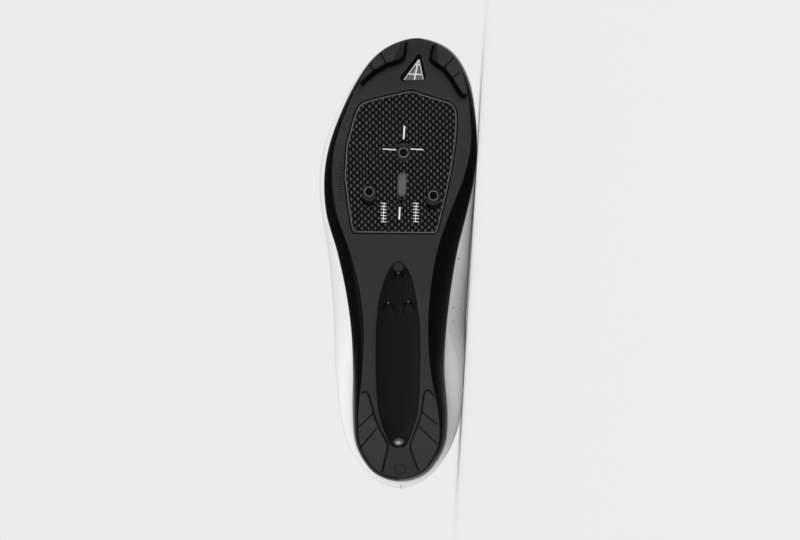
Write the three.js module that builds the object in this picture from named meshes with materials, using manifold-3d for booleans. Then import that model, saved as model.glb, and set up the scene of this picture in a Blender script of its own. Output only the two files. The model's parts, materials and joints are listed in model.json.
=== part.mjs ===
// A lace-up road cycling shoe for the right foot, lying on its medial side.
// The shoe's own frame: +X from the heel to the toe, +Y to the medial side, +Z up from the ground
// that the heel would stand on. The finished shoe is turned onto its side at the end.
import * as THREE from 'three';
import { ConvexHull } from 'three/addons/math/ConvexHull.js';
import { mergeVertices } from 'three/addons/utils/BufferGeometryUtils.js';
import Module from 'manifold-3d';

const wasm = await Module();
wasm.setup();

// Driving dimensions, in millimetres
const LENGTH = 298; // heel of the upper to the tip of the toe
const BALL_WIDTH = 100; // the sole at the ball of the foot
const SIDE_HEIGHT = 32; // the highest point of the sole's side, at the medial arch
const TOE_SPRING = 28; // the sole's underside at the tip of the toe
const COLLAR_HEIGHT = 88; // the collar at the back of the heel
const GAP = 0.3; // between two pieces that touch

const SOLE_THICKNESS = 6; // underside to insole seat
const SOLE_CROWN = 2.2; // how much the underside's edges stand above its middle
const SOLE_RIM = 3; // the flat top edge that carries the upper
const WALL_SHAPE = 1.35; // 1 is an elliptical side wall, 2 a straight slanted one

const UPPER_WALL = 1.8;
const COLLAR_WALL = 3; // the padded edge around the ankle
const UPPER_ROUNDING = 0.86; // 1 is an elliptical roof over the foot, less is squarer
const EYESTAY_THICKNESS = 1.2;
const EYESTAY_INSET = 9; // seen from above, its width beside the throat
const INSOLE_THICKNESS = 3.4;
const TONGUE_THICKNESS = 3.5;
const TONGUE_GAP = 1.4; // under the upper's edges
const TONGUE_RISE = 25; // over the throat's top end

const PLATE_RECESS = 0.7; // how deep the carbon plate lies below the sole around it
const PLATE_THICKNESS = 1.4;
const CLEAT_BASE = 42; // between the two rear cleat nuts
const CLEAT_DEPTH = 30; // from the rear slots' line to the front slot
const CLEAT_TURN = 3.5; // degrees that the cleat pattern is turned with the foot
const CLEAT_TRAVEL = 2.3; // how far each nut stands from the middle of its slot
const SLOT_LENGTH = 14;
const NUT_RADIUS = 4.3;
const NUT_BORE = 2.5;
const NUT_FLANGE_RADIUS = 6.4;
const NUT_FLANGE = 1.1;
const VENT_SLOT_LENGTH = 16;
const VENT_SLOT_WIDTH = 6;
const LOCATOR_RADIUS = 2.3;
const LOCATOR_BORE = 1.2;
const SCREEN_THICKNESS = 1;
const TOE_VENT_SINK = 3; // the toe vent's mesh below the sole's surface

const TOE_PAD_HEIGHT = 3.4;
const HEEL_PAD_HEIGHT = 1.8;
const PAD_GROOVE = 0.9;
const ARCH_RECESS_DEPTH = 3.8;

const EYELETS = 6;
const EYELET_RADIUS = 2.2;
const EYELET_INSET = 7; // from the throat's edge
const LACE_WIDTH = 5.4;
const LACE_THICKNESS = 1.3;
const LACE_SIDES = 6;
const LACE_CLEARANCE = 1.2; // over the eyestay and the tongue

// Stations from the tip of the toe (0) to the back of the heel (16). Every rib of the sole and of
// the upper starts on the sole's top edge and runs to the middle of the shoe.
// x, spine, roofX:            shares of LENGTH: the edge, the rib's end on the middle line, its top
// lateral, medial:            shares of BALL_WIDTH: the sole's top edge
// under:                      share of TOE_SPRING: the underside at x
// sideL, sideM:               shares of SIDE_HEIGHT: the sole's top edge
// tuckL, tuckM:               shares of BALL_WIDTH: how far the bottom edge lies in from the top edge
// openL, openM:               shares of BALL_WIDTH: the throat's or collar's edge from the middle
// roof:                       share of COLLAR_HEIGHT: the top line
// arch:                       1 is a roof over the foot, 0 a plain wall up to the collar
// swellL, swellM:             shares of BALL_WIDTH: how far the upper swells beyond the sole
// swellAt:                    share of the rib, from the sole up, where it swells the most
const COLUMNS = [
  'x', 'spine', 'roofX', 'lateral', 'medial', 'under', 'sideL', 'sideM', 'tuckL', 'tuckM',
  'openL', 'openM', 'roof', 'arch', 'swellL', 'swellM', 'swellAt',
];
const STATIONS = [
  [1.0, 0.886, 0.888, -0.1, 0.1, 1.0, 1.1, 1.1, 0.018, 0.018,
    0, 0, 0.6, 1, 0.01, 0.01, 0.3],
  [0.985, 0.88, 0.882, 0.065, 0.265, 0.82, 1.05, 1.05, 0.019, 0.019,
    0, 0, 0.602, 1, 0.012, 0.01, 0.3],
  [0.952, 0.862, 0.864, 0.191, 0.376, 0.62, 0.91, 0.91, 0.022, 0.022,
    0, 0, 0.612, 1, 0.02, 0.01, 0.3],
  [0.899, 0.834, 0.836, 0.297, 0.449, 0.42, 0.72, 0.72, 0.028, 0.028,
    0, 0, 0.632, 1, 0.03, 0.012, 0.3],
  [0.832, 0.794, 0.794, 0.392, 0.485, 0.27, 0.565, 0.565, 0.036, 0.032,
    0, 0, 0.665, 1, 0.045, 0.008, 0.3],
  [0.758, 0.74, 0.738, 0.469, 0.5, 0.21, 0.49, 0.49, 0.045, 0.04,
    0, 0, 0.715, 1, 0.058, 0.004, 0.3],
  [0.685, 0.678, 0.672, 0.502, 0.481, 0.24, 0.51, 0.525, 0.06, 0.07,
    0, 0, 0.785, 1, 0.062, 0.021, 0.32],
  [0.607, 0.606, 0.602, 0.488, 0.43, 0.34, 0.6, 0.66, 0.075, 0.11,
    0.115, 0.115, 0.865, 0.95, 0.068, 0.068, 0.36],
  [0.527, 0.527, 0.527, 0.422, 0.37, 0.43, 0.71, 0.81, 0.09, 0.13,
    0.15, 0.15, 0.95, 0.85, 0.108, 0.118, 0.39],
  [0.44, 0.44, 0.445, 0.366, 0.326, 0.48, 0.78, 0.93, 0.1, 0.13,
    0.18, 0.18, 1.025, 0.7, 0.15, 0.146, 0.43],
  [0.352, 0.352, 0.37, 0.33, 0.296, 0.45, 0.785, 0.95, 0.09, 0.115,
    0.235, 0.235, 1.05, 0.5, 0.156, 0.148, 0.43],
  [0.262, 0.265, 0.285, 0.317, 0.284, 0.32, 0.735, 0.85, 0.07, 0.085,
    0.3, 0.295, 0.865, 0.2, 0.124, 0.132, 0.25],
  [0.168, 0.188, 0.185, 0.318, 0.306, 0.18, 0.675, 0.72, 0.048, 0.055,
    0.335, 0.325, 0.765, 0, 0.083, 0.086, 0.15],
  [0.101, 0.144, 0.112, 0.297, 0.29, 0.14, 0.64, 0.66, 0.042, 0.042,
    0.32, 0.315, 0.85, 0, 0.05, 0.042, 0.15],
  [0.052, 0.124, 0.06, 0.218, 0.212, 0.15, 0.65, 0.65, 0.04, 0.04,
    0.245, 0.24, 0.93, 0, 0.036, 0.03, 0.17],
  [0.0275, 0.116, 0.032, 0.125, 0.12, 0.16, 0.67, 0.67, 0.04, 0.04,
    0.132, 0.13, 0.985, 0, 0.042, 0.038, 0.18],
  [0.0185, 0.114, 0.0235, 0, 0, 0.17, 0.68, 0.68, 0.04, 0.04,
    0, 0, 1.0, 0, 0.055, 0.055, 0.19],
].map((row) => Object.fromEntries(COLUMNS.map((name, i) => [name, row[i]])));
const HEEL = STATIONS.length - 1;
const LOOP = 2 * HEEL;
const THROAT_FRONT = 6; // the station where the throat opens
const RIBS_PER_STATION = 2;

// A station's value for rib number i of the loop: the lateral side first, then the medial one.
function stationValue(i, pick) {
  const k = ((i % LOOP) + LOOP) % LOOP;
  return k <= HEEL ? pick(STATIONS[k], 'L') : pick(STATIONS[LOOP - k], 'M');
}

// The same value anywhere on the loop, along a smooth curve through the stations.
function along(rib, pick) {
  const i = Math.floor(rib);
  const t = rib - i;
  const [a, b, c, d] = [-1, 0, 1, 2].map((step) => stationValue(i + step, pick));
  return b + 0.5 * t * (c - a + t * (2 * a - 5 * b + 4 * c - d + t * (3 * (b - c) + d - a)));
}

const sided = (left, right) => (row, side) => (side === 'L' ? row[left] : row[right]);
const middle = (row) => ((row.medial - row.lateral) / 2) * BALL_WIDTH;

function edgePoint(rib) {
  const across = (row, side) => (side === 'L' ? -row.lateral : row.medial) * BALL_WIDTH;
  return new THREE.Vector3(
    LENGTH * along(rib, (row) => row.x),
    along(rib, across),
    SIDE_HEIGHT * along(rib, sided('sideL', 'sideM')),
  );
}

function spinePoint(rib) {
  return new THREE.Vector3(LENGTH * along(rib, (row) => row.spine), along(rib, middle), 0);
}

// Height of the sole's underside at any x, along the stations of one side.
function underHeight(x) {
  let low = 0;
  let high = HEEL;
  for (let step = 0; step < 40; step++) {
    const mid = (low + high) / 2;
    if (LENGTH * along(mid, (row) => row.x) > x) low = mid;
    else high = mid;
  }
  return TOE_SPRING * along((low + high) / 2, (row) => row.under);
}

function inward(rib) {
  return spinePoint(rib).sub(edgePoint(rib)).setZ(0).normalize();
}

const UNDER_SHARES = [0, 0.16, 0.36, 0.65, 1];

// The underside from its edge (share 0) to the middle line (share 1), raised into the sole.
function undersidePoint(rib, share, raised = 0) {
  const tuck = BALL_WIDTH * along(rib, sided('tuckL', 'tuckM'));
  const edge = edgePoint(rib).addScaledVector(inward(rib), tuck);
  const point = edge.lerp(spinePoint(rib), share);
  point.z = underHeight(point.x) + SOLE_CROWN * (1 - share) ** 4 + raised;
  return point;
}

// The side wall of the sole from the top edge (share 0) to the underside's edge (share 1).
function sideWallPoint(rib, share) {
  const top = edgePoint(rib);
  const bottom = undersidePoint(rib, 0);
  const angle = (share * Math.PI) / 2;
  const across = 1 - Math.cos(angle) ** WALL_SHAPE;
  const down = Math.sin(angle) ** WALL_SHAPE;
  return new THREE.Vector3(
    top.x + (bottom.x - top.x) * across,
    top.y + (bottom.y - top.y) * across,
    top.z + (bottom.z - top.z) * down,
  );
}

// The top of the sole inside the upper: the insole's seat.
const SEAT_SHARES = [0.08, 0.2, 0.45, 1];
function seatPoint(rib, inset, share, raised = 0) {
  const point = edgePoint(rib).addScaledVector(inward(rib), inset);
  const rim = point.z;
  point.lerp(spinePoint(rib), share);
  const floor = underHeight(point.x) + SOLE_THICKNESS;
  const dish = (1 - share) ** 5;
  point.z = floor + (Math.max(rim - floor, 0)) * dish + raised;
  return point;
}

// The upper's outer face: a rib from the sole's top edge (share 0) to the top line (share 1).
function upperFace(rib, share) {
  const foot = edgePoint(rib);
  foot.z += GAP;
  const opened = along(rib, (row, side) => sided('openL', 'openM')(row, side) ** 2);
  const opening = Math.sqrt(Math.max(opened, 0));
  const closed = rib <= THROAT_FRONT || rib >= LOOP - THROAT_FRONT;
  const sign = rib <= HEEL ? -1 : 1;
  const top = new THREE.Vector3(
    LENGTH * along(rib, (row) => row.roofX),
    along(rib, middle) + (closed ? 0 : sign * opening * BALL_WIDTH),
    COLLAR_HEIGHT * along(rib, (row) => row.roof),
  );
  const arch = along(rib, (row) => row.arch);
  const angle = (share * Math.PI) / 2;
  const power = UPPER_ROUNDING;
  const over = share + (1 - Math.cos(angle) ** power - share) * arch;
  const rise = share + (Math.sin(angle) ** power - share) * arch;
  const lean = Math.log(0.5) / Math.log(along(rib, (row) => row.swellAt));
  const swell = BALL_WIDTH * along(rib, sided('swellL', 'swellM')) * Math.sin(Math.PI * share ** lean);
  const out = inward(rib).negate();
  return new THREE.Vector3(
    foot.x + (top.x - foot.x) * over + out.x * swell,
    foot.y + (top.y - foot.y) * over + out.y * swell,
    foot.z + (top.z - foot.z) * rise,
  );
}

function faceNormal(rib, share) {
  const step = 0.02;
  const low = Math.max(share - step, 0);
  const high = Math.min(share + step, 1);
  const around = upperFace(rib + step, share).sub(upperFace(rib - step, share));
  const up = upperFace(rib, high).sub(upperFace(rib, low));
  return around.cross(up).normalize().negate();
}

// A point at a depth under the upper's outer face; a negative depth lies outside it.
function upperPoint(rib, share, depth) {
  const closed = rib <= THROAT_FRONT || rib >= LOOP - THROAT_FRONT;
  const normal = faceNormal(rib, share);
  if (closed && share > 0.999) {
    const nearTop = 0.97;
    normal.copy(faceNormal(rib, nearTop)).add(faceNormal((LOOP - rib) % LOOP, nearTop)).normalize();
  }
  if (share < 0.001) normal.setZ(0).normalize();
  return upperFace(rib, share).addScaledVector(normal, -depth);
}

// Geometry from rings of points, joined in order, with doubled points merged.
function fromTriangles(corners) {
  const loose = new THREE.BufferGeometry().setFromPoints(corners);
  const merged = mergeVertices(loose, 1e-4);
  const kept = [];
  const index = merged.index.array;
  for (let i = 0; i < index.length; i += 3) {
    const [a, b, c] = index.slice(i, i + 3);
    if (a !== b && b !== c && c !== a) kept.push(a, b, c);
  }
  merged.setIndex(kept);
  return merged;
}

// The faces between two rings. Turned faces look the other way and keep the same diagonals, so that
// two pieces made from the same rings stay parallel.
function bandBetween(corners, lower, upper, turned = false, skip = () => false) {
  const count = lower.length;
  for (let i = 0; i < count; i++) {
    if (skip(i)) continue;
    const j = (i + 1) % count;
    if (turned) corners.push(lower[i], upper[j], lower[j], lower[i], upper[i], upper[j]);
    else corners.push(lower[i], lower[j], upper[j], lower[i], upper[j], upper[i]);
  }
}

function solidOf(geometry) {
  const merged = geometry.index ? geometry : mergeVertices(geometry, 1e-4);
  const mesh = new wasm.Mesh({
    numProp: 3,
    vertProperties: new Float32Array(merged.attributes.position.array),
    triVerts: new Uint32Array(merged.index.array),
  });
  const made = new wasm.Manifold(mesh);
  if (made.volume() > 0) return made;
  mesh.triVerts.forEach((_, i, all) => {
    if (i % 3 === 0) [all[i + 1], all[i + 2]] = [all[i + 2], all[i + 1]];
  });
  return new wasm.Manifold(mesh);
}

function geometryOf(solid) {
  const mesh = solid.getMesh();
  const geometry = new THREE.BufferGeometry();
  const points = new Float32Array(mesh.numVert * 3);
  for (let i = 0; i < mesh.numVert; i++) {
    for (let k = 0; k < 3; k++) points[3 * i + k] = mesh.vertProperties[mesh.numProp * i + k];
  }
  geometry.setAttribute('position', new THREE.BufferAttribute(points, 3));
  geometry.setIndex([...mesh.triVerts]);
  return geometry;
}

// A closed outline from rings that end on the middle line.
function solidFromRings(rings) {
  const corners = [];
  for (let i = 0; i + 1 < rings.length; i++) bandBetween(corners, rings[i], rings[i + 1]);
  return solidOf(fromTriangles(corners));
}

const RIBS = Array.from({ length: LOOP * RIBS_PER_STATION }, (_, i) => i / RIBS_PER_STATION);
const ring = (pointAt) => RIBS.map(pointAt);
const spread = (count) => Array.from({ length: count + 1 }, (_, i) => i / count);

// A plain upright prism through a plan outline, for cutting the sole and the pieces on it.
function prism(outline, low = -40, high = 80) {
  const shape = new THREE.Shape(outline);
  const geometry = new THREE.ExtrudeGeometry(shape, { depth: high - low, bevelEnabled: false });
  geometry.deleteAttribute('normal');
  geometry.deleteAttribute('uv');
  geometry.translate(0, 0, low);
  return solidOf(mergeVertices(geometry, 1e-4));
}

const plan = (points) => points.map(([x, y]) => new THREE.Vector2(x * LENGTH, y * BALL_WIDTH));

// An outline moved inwards (or outwards, if negative), with its corners kept.
function insetOutline(outline, distance) {
  const area = THREE.ShapeUtils.area(outline);
  const turn = area > 0 ? 1 : -1;
  return outline.map((point, i) => {
    const before = outline[(i + outline.length - 1) % outline.length];
    const after = outline[(i + 1) % outline.length];
    const a = point.clone().sub(before).normalize();
    const b = after.clone().sub(point).normalize();
    const bisector = new THREE.Vector2(-(a.y + b.y), a.x + b.x).normalize().multiplyScalar(turn);
    const side = new THREE.Vector2(-a.y, a.x).multiplyScalar(turn);
    return point.clone().addScaledVector(bisector, distance / Math.max(bisector.dot(side), 0.4));
  });
}

// A slot with round ends along the cleat pattern's own direction.
function slotOutline(centre, length, width, sides = 6) {
  const forward = new THREE.Vector2(1, 0).rotateAround(new THREE.Vector2(), CLEAT_ANGLE);
  const points = [];
  for (const end of [1, -1]) {
    const middleOfEnd = centre.clone().addScaledVector(forward, end * (length - width) / 2);
    for (let i = 0; i <= sides; i++) {
      const angle = CLEAT_ANGLE + (i / sides - 0.5) * Math.PI + (end < 0 ? Math.PI : 0);
      points.push(new THREE.Vector2(Math.cos(angle), Math.sin(angle))
        .multiplyScalar(width / 2).add(middleOfEnd));
    }
  }
  return points;
}

// A layer of the sole between two heights above its underside.
function soleLayer(low, high) {
  const bottom = UNDER_SHARES.map((share) => ring((rib) => undersidePoint(rib, share, low)));
  const top = UNDER_SHARES.map((share) => ring((rib) => undersidePoint(rib, share, high)));
  return solidFromRings([...bottom.reverse(), ...top]);
}

// Plan of the pieces on the underside
const CLEAT_ANGLE = THREE.MathUtils.degToRad(CLEAT_TURN);
const CLEAT_CENTRE = new THREE.Vector2(0.694 * LENGTH, 0.015 * BALL_WIDTH);
const cleatPlan = (forward, across) => new THREE.Vector2(forward, across)
  .rotateAround(new THREE.Vector2(), CLEAT_ANGLE).add(CLEAT_CENTRE);
const CLEAT_SLOTS = [
  { name: 'cleat_nut_front', forward: CLEAT_DEPTH / 2, across: 0, shift: -CLEAT_TRAVEL * 0.4 },
  { name: 'cleat_nut_lateral', forward: -CLEAT_DEPTH / 2, across: -CLEAT_BASE / 2, shift: CLEAT_TRAVEL },
  { name: 'cleat_nut_medial', forward: -CLEAT_DEPTH / 2, across: CLEAT_BASE / 2, shift: CLEAT_TRAVEL },
];
const VENT_CENTRE = cleatPlan(-0.22 * CLEAT_DEPTH, 0);
const LOCATOR_CENTRE = cleatPlan(-0.22 * CLEAT_DEPTH - VENT_SLOT_LENGTH / 2 - LOCATOR_RADIUS - 3 * GAP, 0);

const WINDOW = plan([
  [0.8805, 0.073], [0.868, 0.18], [0.854, 0.32], [0.847, 0.356], [0.829, 0.376], [0.8, 0.377],
  [0.758, 0.367], [0.713, 0.346], [0.667, 0.32], [0.593, 0.267], [0.57, 0.252], [0.5625, 0.228],
  [0.5645, -0.308], [0.574, -0.324], [0.635, -0.351], [0.688, -0.37], [0.758, -0.356],
  [0.815, -0.312], [0.842, -0.282], [0.854, -0.25], [0.865, -0.13],
]);
const TOE_VENT = plan([
  [0.96, 0.112], [0.958, 0.13], [0.912, 0.165], [0.9, 0.158], [0.899, 0.005], [0.906, -0.005],
  [0.952, 0.098],
]);
const TOE_PADS = {
  toe_pad_lateral: plan([
    [1.02, 0.02], [0.985, 0.027], [0.956, 0.02], [0.948, -0.001], [0.9385, -0.096], [0.923, -0.175],
    [0.896, -0.264], [0.9, -0.34], [0.95, -0.34], [1.02, -0.2],
  ]),
  toe_pad_medial: plan([
    [1.02, 0.236], [0.985, 0.228], [0.961, 0.207], [0.948, 0.204], [0.928, 0.294], [0.905, 0.346],
    [0.875, 0.399], [0.869, 0.412], [0.875, 0.56], [0.95, 0.56], [1.02, 0.4],
  ]),
};
const HEEL_PADS = {
  heel_pad_lateral: plan([
    [0.218, -0.222], [0.216, -0.247], [0.206, -0.268], [0.166, -0.3], [0.02, -0.32], [0.01, -0.14],
    [0.039, -0.124], [0.087, -0.09], [0.103, -0.08], [0.14, -0.138], [0.166, -0.17], [0.21, -0.206],
  ]),
  heel_pad_medial: plan([
    [0.2215, 0.19], [0.2195, 0.168], [0.2135, 0.16], [0.175, 0.146], [0.147, 0.12], [0.103, 0.069],
    [0.08, 0.088], [0.043, 0.132], [0.01, 0.15], [0.02, 0.32], [0.15, 0.3], [0.205, 0.225],
  ]),
};
// Thin grooves across the pads: two ends each, in the same shares
const PAD_GROOVES = {
  toe_pad_lateral: [[[0.98, -0.15], [0.935, -0.1]], [[0.955, -0.215], [0.917, -0.165]]],
  toe_pad_medial: [[[0.976, 0.36], [0.936, 0.29]], [[0.945, 0.4], [0.913, 0.34]]],
  heel_pad_lateral: [[[0.172, -0.165], [0.135, -0.3]], [[0.143, -0.13], [0.083, -0.3]]],
  heel_pad_medial: [[[0.178, 0.14], [0.136, 0.27]], [[0.147, 0.11], [0.09, 0.28]]],
};
const ARCH_RECESS = { from: 0.099, to: 0.503, middle: -0.014, half: 0.147 };
const HEEL_PLUG = { x: 0.05, y: 0.002, radius: 3.4, depth: 0.5 };

function groove([[x0, y0], [x1, y1]]) {
  const [a, b] = plan([[x0, y0], [x1, y1]]);
  const ahead = b.clone().sub(a).normalize();
  const aside = new THREE.Vector2(-ahead.y, ahead.x).multiplyScalar(PAD_GROOVE / 2);
  return [a.clone().add(aside), a.clone().sub(aside), b.clone().sub(aside), b.clone().add(aside)];
}

// The long pointed recess under the arch, as a scoop that narrows into the sole.
function archScoop() {
  const layers = [[1.0, -2], [1.0, 0.25], [0.82, 0.65], [0.5, 1]];
  const sides = 28;
  const length = (ARCH_RECESS.to - ARCH_RECESS.from) * LENGTH;
  const centreX = ((ARCH_RECESS.to + ARCH_RECESS.from) / 2) * LENGTH;
  const centreY = ARCH_RECESS.middle * BALL_WIDTH;
  const rings = layers.map(([size, depth]) => Array.from({ length: sides }, (_, i) => {
    const angle = (2 * Math.PI * i) / sides;
    const x = centreX + (length / 2) * Math.cos(angle) * (1 - 0.35 * (1 - size));
    const width = ARCH_RECESS.half * BALL_WIDTH * Math.abs(Math.sin(angle)) ** 1.25;
    const y = centreY + Math.sign(Math.sin(angle)) * width * size;
    return new THREE.Vector3(x, y, underHeight(x) + ARCH_RECESS_DEPTH * depth);
  }));
  const corners = [];
  for (let i = 0; i + 1 < rings.length; i++) bandBetween(corners, rings[i], rings[i + 1]);
  for (const end of [rings[0], rings[rings.length - 1]]) {
    const closing = [];
    for (let i = 1; i + 1 < sides / 2 + 1; i++) {
      const [a, b] = [end[i], end[(sides - i) % sides]];
      const [c, d] = [end[i - 1], end[(sides - i + 1) % sides]];
      closing.push(c, a, b, c, b, d);
    }
    const last = sides / 2;
    closing.push(end[last - 1], end[last], end[last + 1]);
    if (end === rings[0]) closing.reverse();
    corners.push(...closing);
  }
  return solidOf(fromTriangles(corners));
}

const group = new THREE.Group();

function addPiece(name, solid, material) {
  const mesh = new THREE.Mesh(geometryOf(solid), material);
  mesh.name = name;
  group.add(mesh);
  return mesh;
}

const look = (color, roughness, metalness = 0) => new THREE.MeshStandardMaterial({
  color, roughness, metalness,
});
const MATERIALS = {
  upper: look(0xe6e6e6, 0.5),
  sole: look(0x2a2a2b, 0.45),
  carbon: look(0x1d1d1f, 0.3),
  pad: look(0x2e2e2f, 0.6),
  metal: look(0x3a3a3c, 0.35, 0.8),
  mesh: look(0x9a9a9a, 0.8),
  lining: look(0x303032, 0.9),
  lace: look(0xf0f0f0, 0.85),
};

// Outsole: one moulded tray with a wall all round, cut for the plate, vents, pads and arch recess
function outsoleBody() {
  const edge = (inset) => ring((rib) => edgePoint(rib).addScaledVector(inward(rib), inset));
  const seat = SEAT_SHARES.map((share) => ring((rib) => seatPoint(rib, SOLE_RIM, share)));
  const wall = spread(4).slice(1, -1).map((share) => ring((rib) => sideWallPoint(rib, share)));
  const under = UNDER_SHARES.map((share) => ring((rib) => undersidePoint(rib, share)));
  return solidFromRings([...seat.reverse(), edge(SOLE_RIM), edge(0), ...wall, ...under]);
}

const BACK_OF_PLATE = PLATE_RECESS + PLATE_THICKNESS;
const NUT_SEAT = BACK_OF_PLATE + 2.2 * GAP; // the flange's front, clear of the plate's curve
const POCKET = NUT_SEAT + NUT_FLANGE + 2 * GAP;
const SCREEN_SEAT = BACK_OF_PLATE + SCREEN_THICKNESS + 2 * GAP;

function outsole() {
  let body = outsoleBody();
  body = body.subtract(prism(WINDOW).intersect(soleLayer(-20, BACK_OF_PLATE + GAP)));
  for (const slot of CLEAT_SLOTS) {
    const centre = cleatPlan(slot.forward, slot.across);
    const pocket = slotOutline(centre, SLOT_LENGTH + 6, 2 * (NUT_FLANGE_RADIUS + GAP), 8);
    body = body.subtract(prism(pocket).intersect(soleLayer(-20, POCKET)));
  }
  const ventPocket = slotOutline(VENT_CENTRE, VENT_SLOT_LENGTH + 2 * GAP, VENT_SLOT_WIDTH + 3);
  body = body.subtract(prism(ventPocket).intersect(soleLayer(-20, SCREEN_SEAT)));
  const locatorSize = 2 * LOCATOR_RADIUS + 0.8;
  const locatorPocket = slotOutline(LOCATOR_CENTRE, locatorSize, locatorSize, 8);
  body = body.subtract(prism(locatorPocket).intersect(soleLayer(-20, POCKET)));
  body = body.subtract(prism(TOE_VENT));
  body = body.subtract(archScoop());
  const plugCentre = new THREE.Vector2(HEEL_PLUG.x * LENGTH, HEEL_PLUG.y * BALL_WIDTH);
  const plug = slotOutline(plugCentre, 2 * HEEL_PLUG.radius, 2 * HEEL_PLUG.radius - 0.01, 8);
  body = body.subtract(prism(plug).intersect(soleLayer(-20, HEEL_PLUG.depth)));
  return body;
}

addPiece('outsole', outsole(), MATERIALS.sole);

// Carbon plate in the window, with its cleat slots and vent
function carbonPlate() {
  let plate = prism(insetOutline(WINDOW, GAP)).intersect(soleLayer(PLATE_RECESS, BACK_OF_PLATE));
  for (const slot of CLEAT_SLOTS) {
    const centre = cleatPlan(slot.forward, slot.across);
    plate = plate.subtract(prism(slotOutline(centre, SLOT_LENGTH, 2 * (NUT_RADIUS + GAP), 8)));
  }
  plate = plate.subtract(prism(slotOutline(VENT_CENTRE, VENT_SLOT_LENGTH, VENT_SLOT_WIDTH)));
  const locator = 2 * (LOCATOR_RADIUS + GAP);
  plate = plate.subtract(prism(slotOutline(LOCATOR_CENTRE, locator + 0.01, locator, 8)));
  return plate;
}

addPiece('carbon_plate', carbonPlate(), MATERIALS.carbon);

// Cleat nuts: a barrel in the slot and a flange behind the plate, square to the sole there
function cleatNut(slot) {
  const at = cleatPlan(slot.forward + slot.shift, slot.across);
  const step = 4;
  const slope = (underHeight(at.x + step) - underHeight(at.x - step)) / (2 * step);
  const front = PLATE_RECESS + GAP;
  const back = NUT_SEAT + NUT_FLANGE;
  const profile = [
    [NUT_BORE, front], [NUT_RADIUS, front], [NUT_RADIUS, NUT_SEAT], [NUT_FLANGE_RADIUS, NUT_SEAT],
    [NUT_FLANGE_RADIUS, back], [NUT_BORE, back], [NUT_BORE, front],
  ].map(([r, h]) => new THREE.Vector2(r, h));
  const geometry = new THREE.LatheGeometry(profile, 16);
  geometry.rotateX(Math.PI / 2);
  const solid = solidOf(fromTriangles(cornersOf(geometry)));
  const mesh = addPiece(slot.name, solid, MATERIALS.metal);
  mesh.position.set(at.x, at.y, underHeight(at.x) + crownAt(at));
  mesh.rotation.y = -Math.atan(slope);
  return mesh;
}

function cornersOf(geometry) {
  const flat = geometry.index ? geometry.toNonIndexed() : geometry;
  const positions = flat.attributes.position;
  const corner = (_, i) => new THREE.Vector3().fromBufferAttribute(positions, i);
  return Array.from({ length: positions.count }, corner);
}

// How much the underside stands above its middle line at a plan point.
function crownAt(point) {
  let best = 0;
  let nearest = Infinity;
  for (const rib of RIBS) {
    for (const share of spread(20)) {
      const there = undersidePoint(rib, share);
      const distance = Math.hypot(there.x - point.x, there.y - point.y);
      if (distance < nearest) {
        nearest = distance;
        best = there.z - underHeight(there.x);
      }
    }
  }
  return best;
}

CLEAT_SLOTS.forEach(cleatNut);

// Locator nut behind the vent slot, and the screen in the slot
function locatorRing() {
  const outer = slotOutline(LOCATOR_CENTRE, 2 * LOCATOR_RADIUS + 0.01, 2 * LOCATOR_RADIUS, 8);
  const hole = slotOutline(LOCATOR_CENTRE, 2 * LOCATOR_BORE + 0.01, 2 * LOCATOR_BORE, 6);
  return prism(outer).subtract(prism(hole)).intersect(soleLayer(PLATE_RECESS + GAP, POCKET - GAP));
}

addPiece('locator_nut', locatorRing(), MATERIALS.metal);

const ventScreen = prism(slotOutline(VENT_CENTRE, VENT_SLOT_LENGTH, VENT_SLOT_WIDTH + 3 - 2 * GAP))
  .intersect(soleLayer(BACK_OF_PLATE + GAP, BACK_OF_PLATE + GAP + SCREEN_THICKNESS));
addPiece('vent_screen', ventScreen, MATERIALS.mesh);

const toeMesh = prism(insetOutline(TOE_VENT, GAP))
  .intersect(soleLayer(TOE_VENT_SINK, TOE_VENT_SINK + SCREEN_THICKNESS));
addPiece('toe_vent_mesh', toeMesh, MATERIALS.mesh);

// Tread pads: blocks on the underside, with thin grooves across
function treadPad(name, outline, height) {
  let pad = prism(outline).intersect(soleLayer(-height, -GAP));
  for (const line of PAD_GROOVES[name]) {
    pad = pad.subtract(prism(groove(line)).intersect(soleLayer(-height - 1, -0.55 * height)));
  }
  addPiece(name, pad.decompose().reduce((a, b) => (a.volume() > b.volume() ? a : b)), MATERIALS.pad);
}

for (const [name, outline] of Object.entries(TOE_PADS)) treadPad(name, outline, TOE_PAD_HEIGHT);
for (const [name, outline] of Object.entries(HEEL_PADS)) treadPad(name, outline, HEEL_PAD_HEIGHT);

// Upper: one hollow shell, open at the collar and throat, and underneath over the sole
const UPPER_SHARES = [0, 0.09, 0.2, 0.33, 0.48, 0.65, 0.84, 1];
const isRidge = (rib) => rib < THROAT_FRONT || rib >= LOOP - THROAT_FRONT;

function shell(outerDepth, innerDepth) {
  const row = (share, depth) => ring((rib) => upperPoint(rib, share, depth(rib, share)));
  const [outer, inner] = [outerDepth, innerDepth].map((depth) => (
    UPPER_SHARES.map((share) => row(share, depth))));
  const last = UPPER_SHARES.length - 1;
  const corners = [];
  for (let i = 0; i < last; i++) {
    bandBetween(corners, outer[i], outer[i + 1]);
    bandBetween(corners, inner[i], inner[i + 1], true);
  }
  bandBetween(corners, outer[last], inner[last], false, (i) => isRidge(RIBS[i]));
  bandBetween(corners, inner[0], outer[0]);
  return solidOf(fromTriangles(corners));
}

function wallDepth(rib, share) {
  const back = THREE.MathUtils.smoothstep(Math.min(rib, LOOP - rib), THROAT_FRONT + 4, THROAT_FRONT + 5.2);
  const high = THREE.MathUtils.smoothstep(share, 0.55, 0.95);
  return UPPER_WALL + (COLLAR_WALL - UPPER_WALL) * back * high;
}

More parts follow.
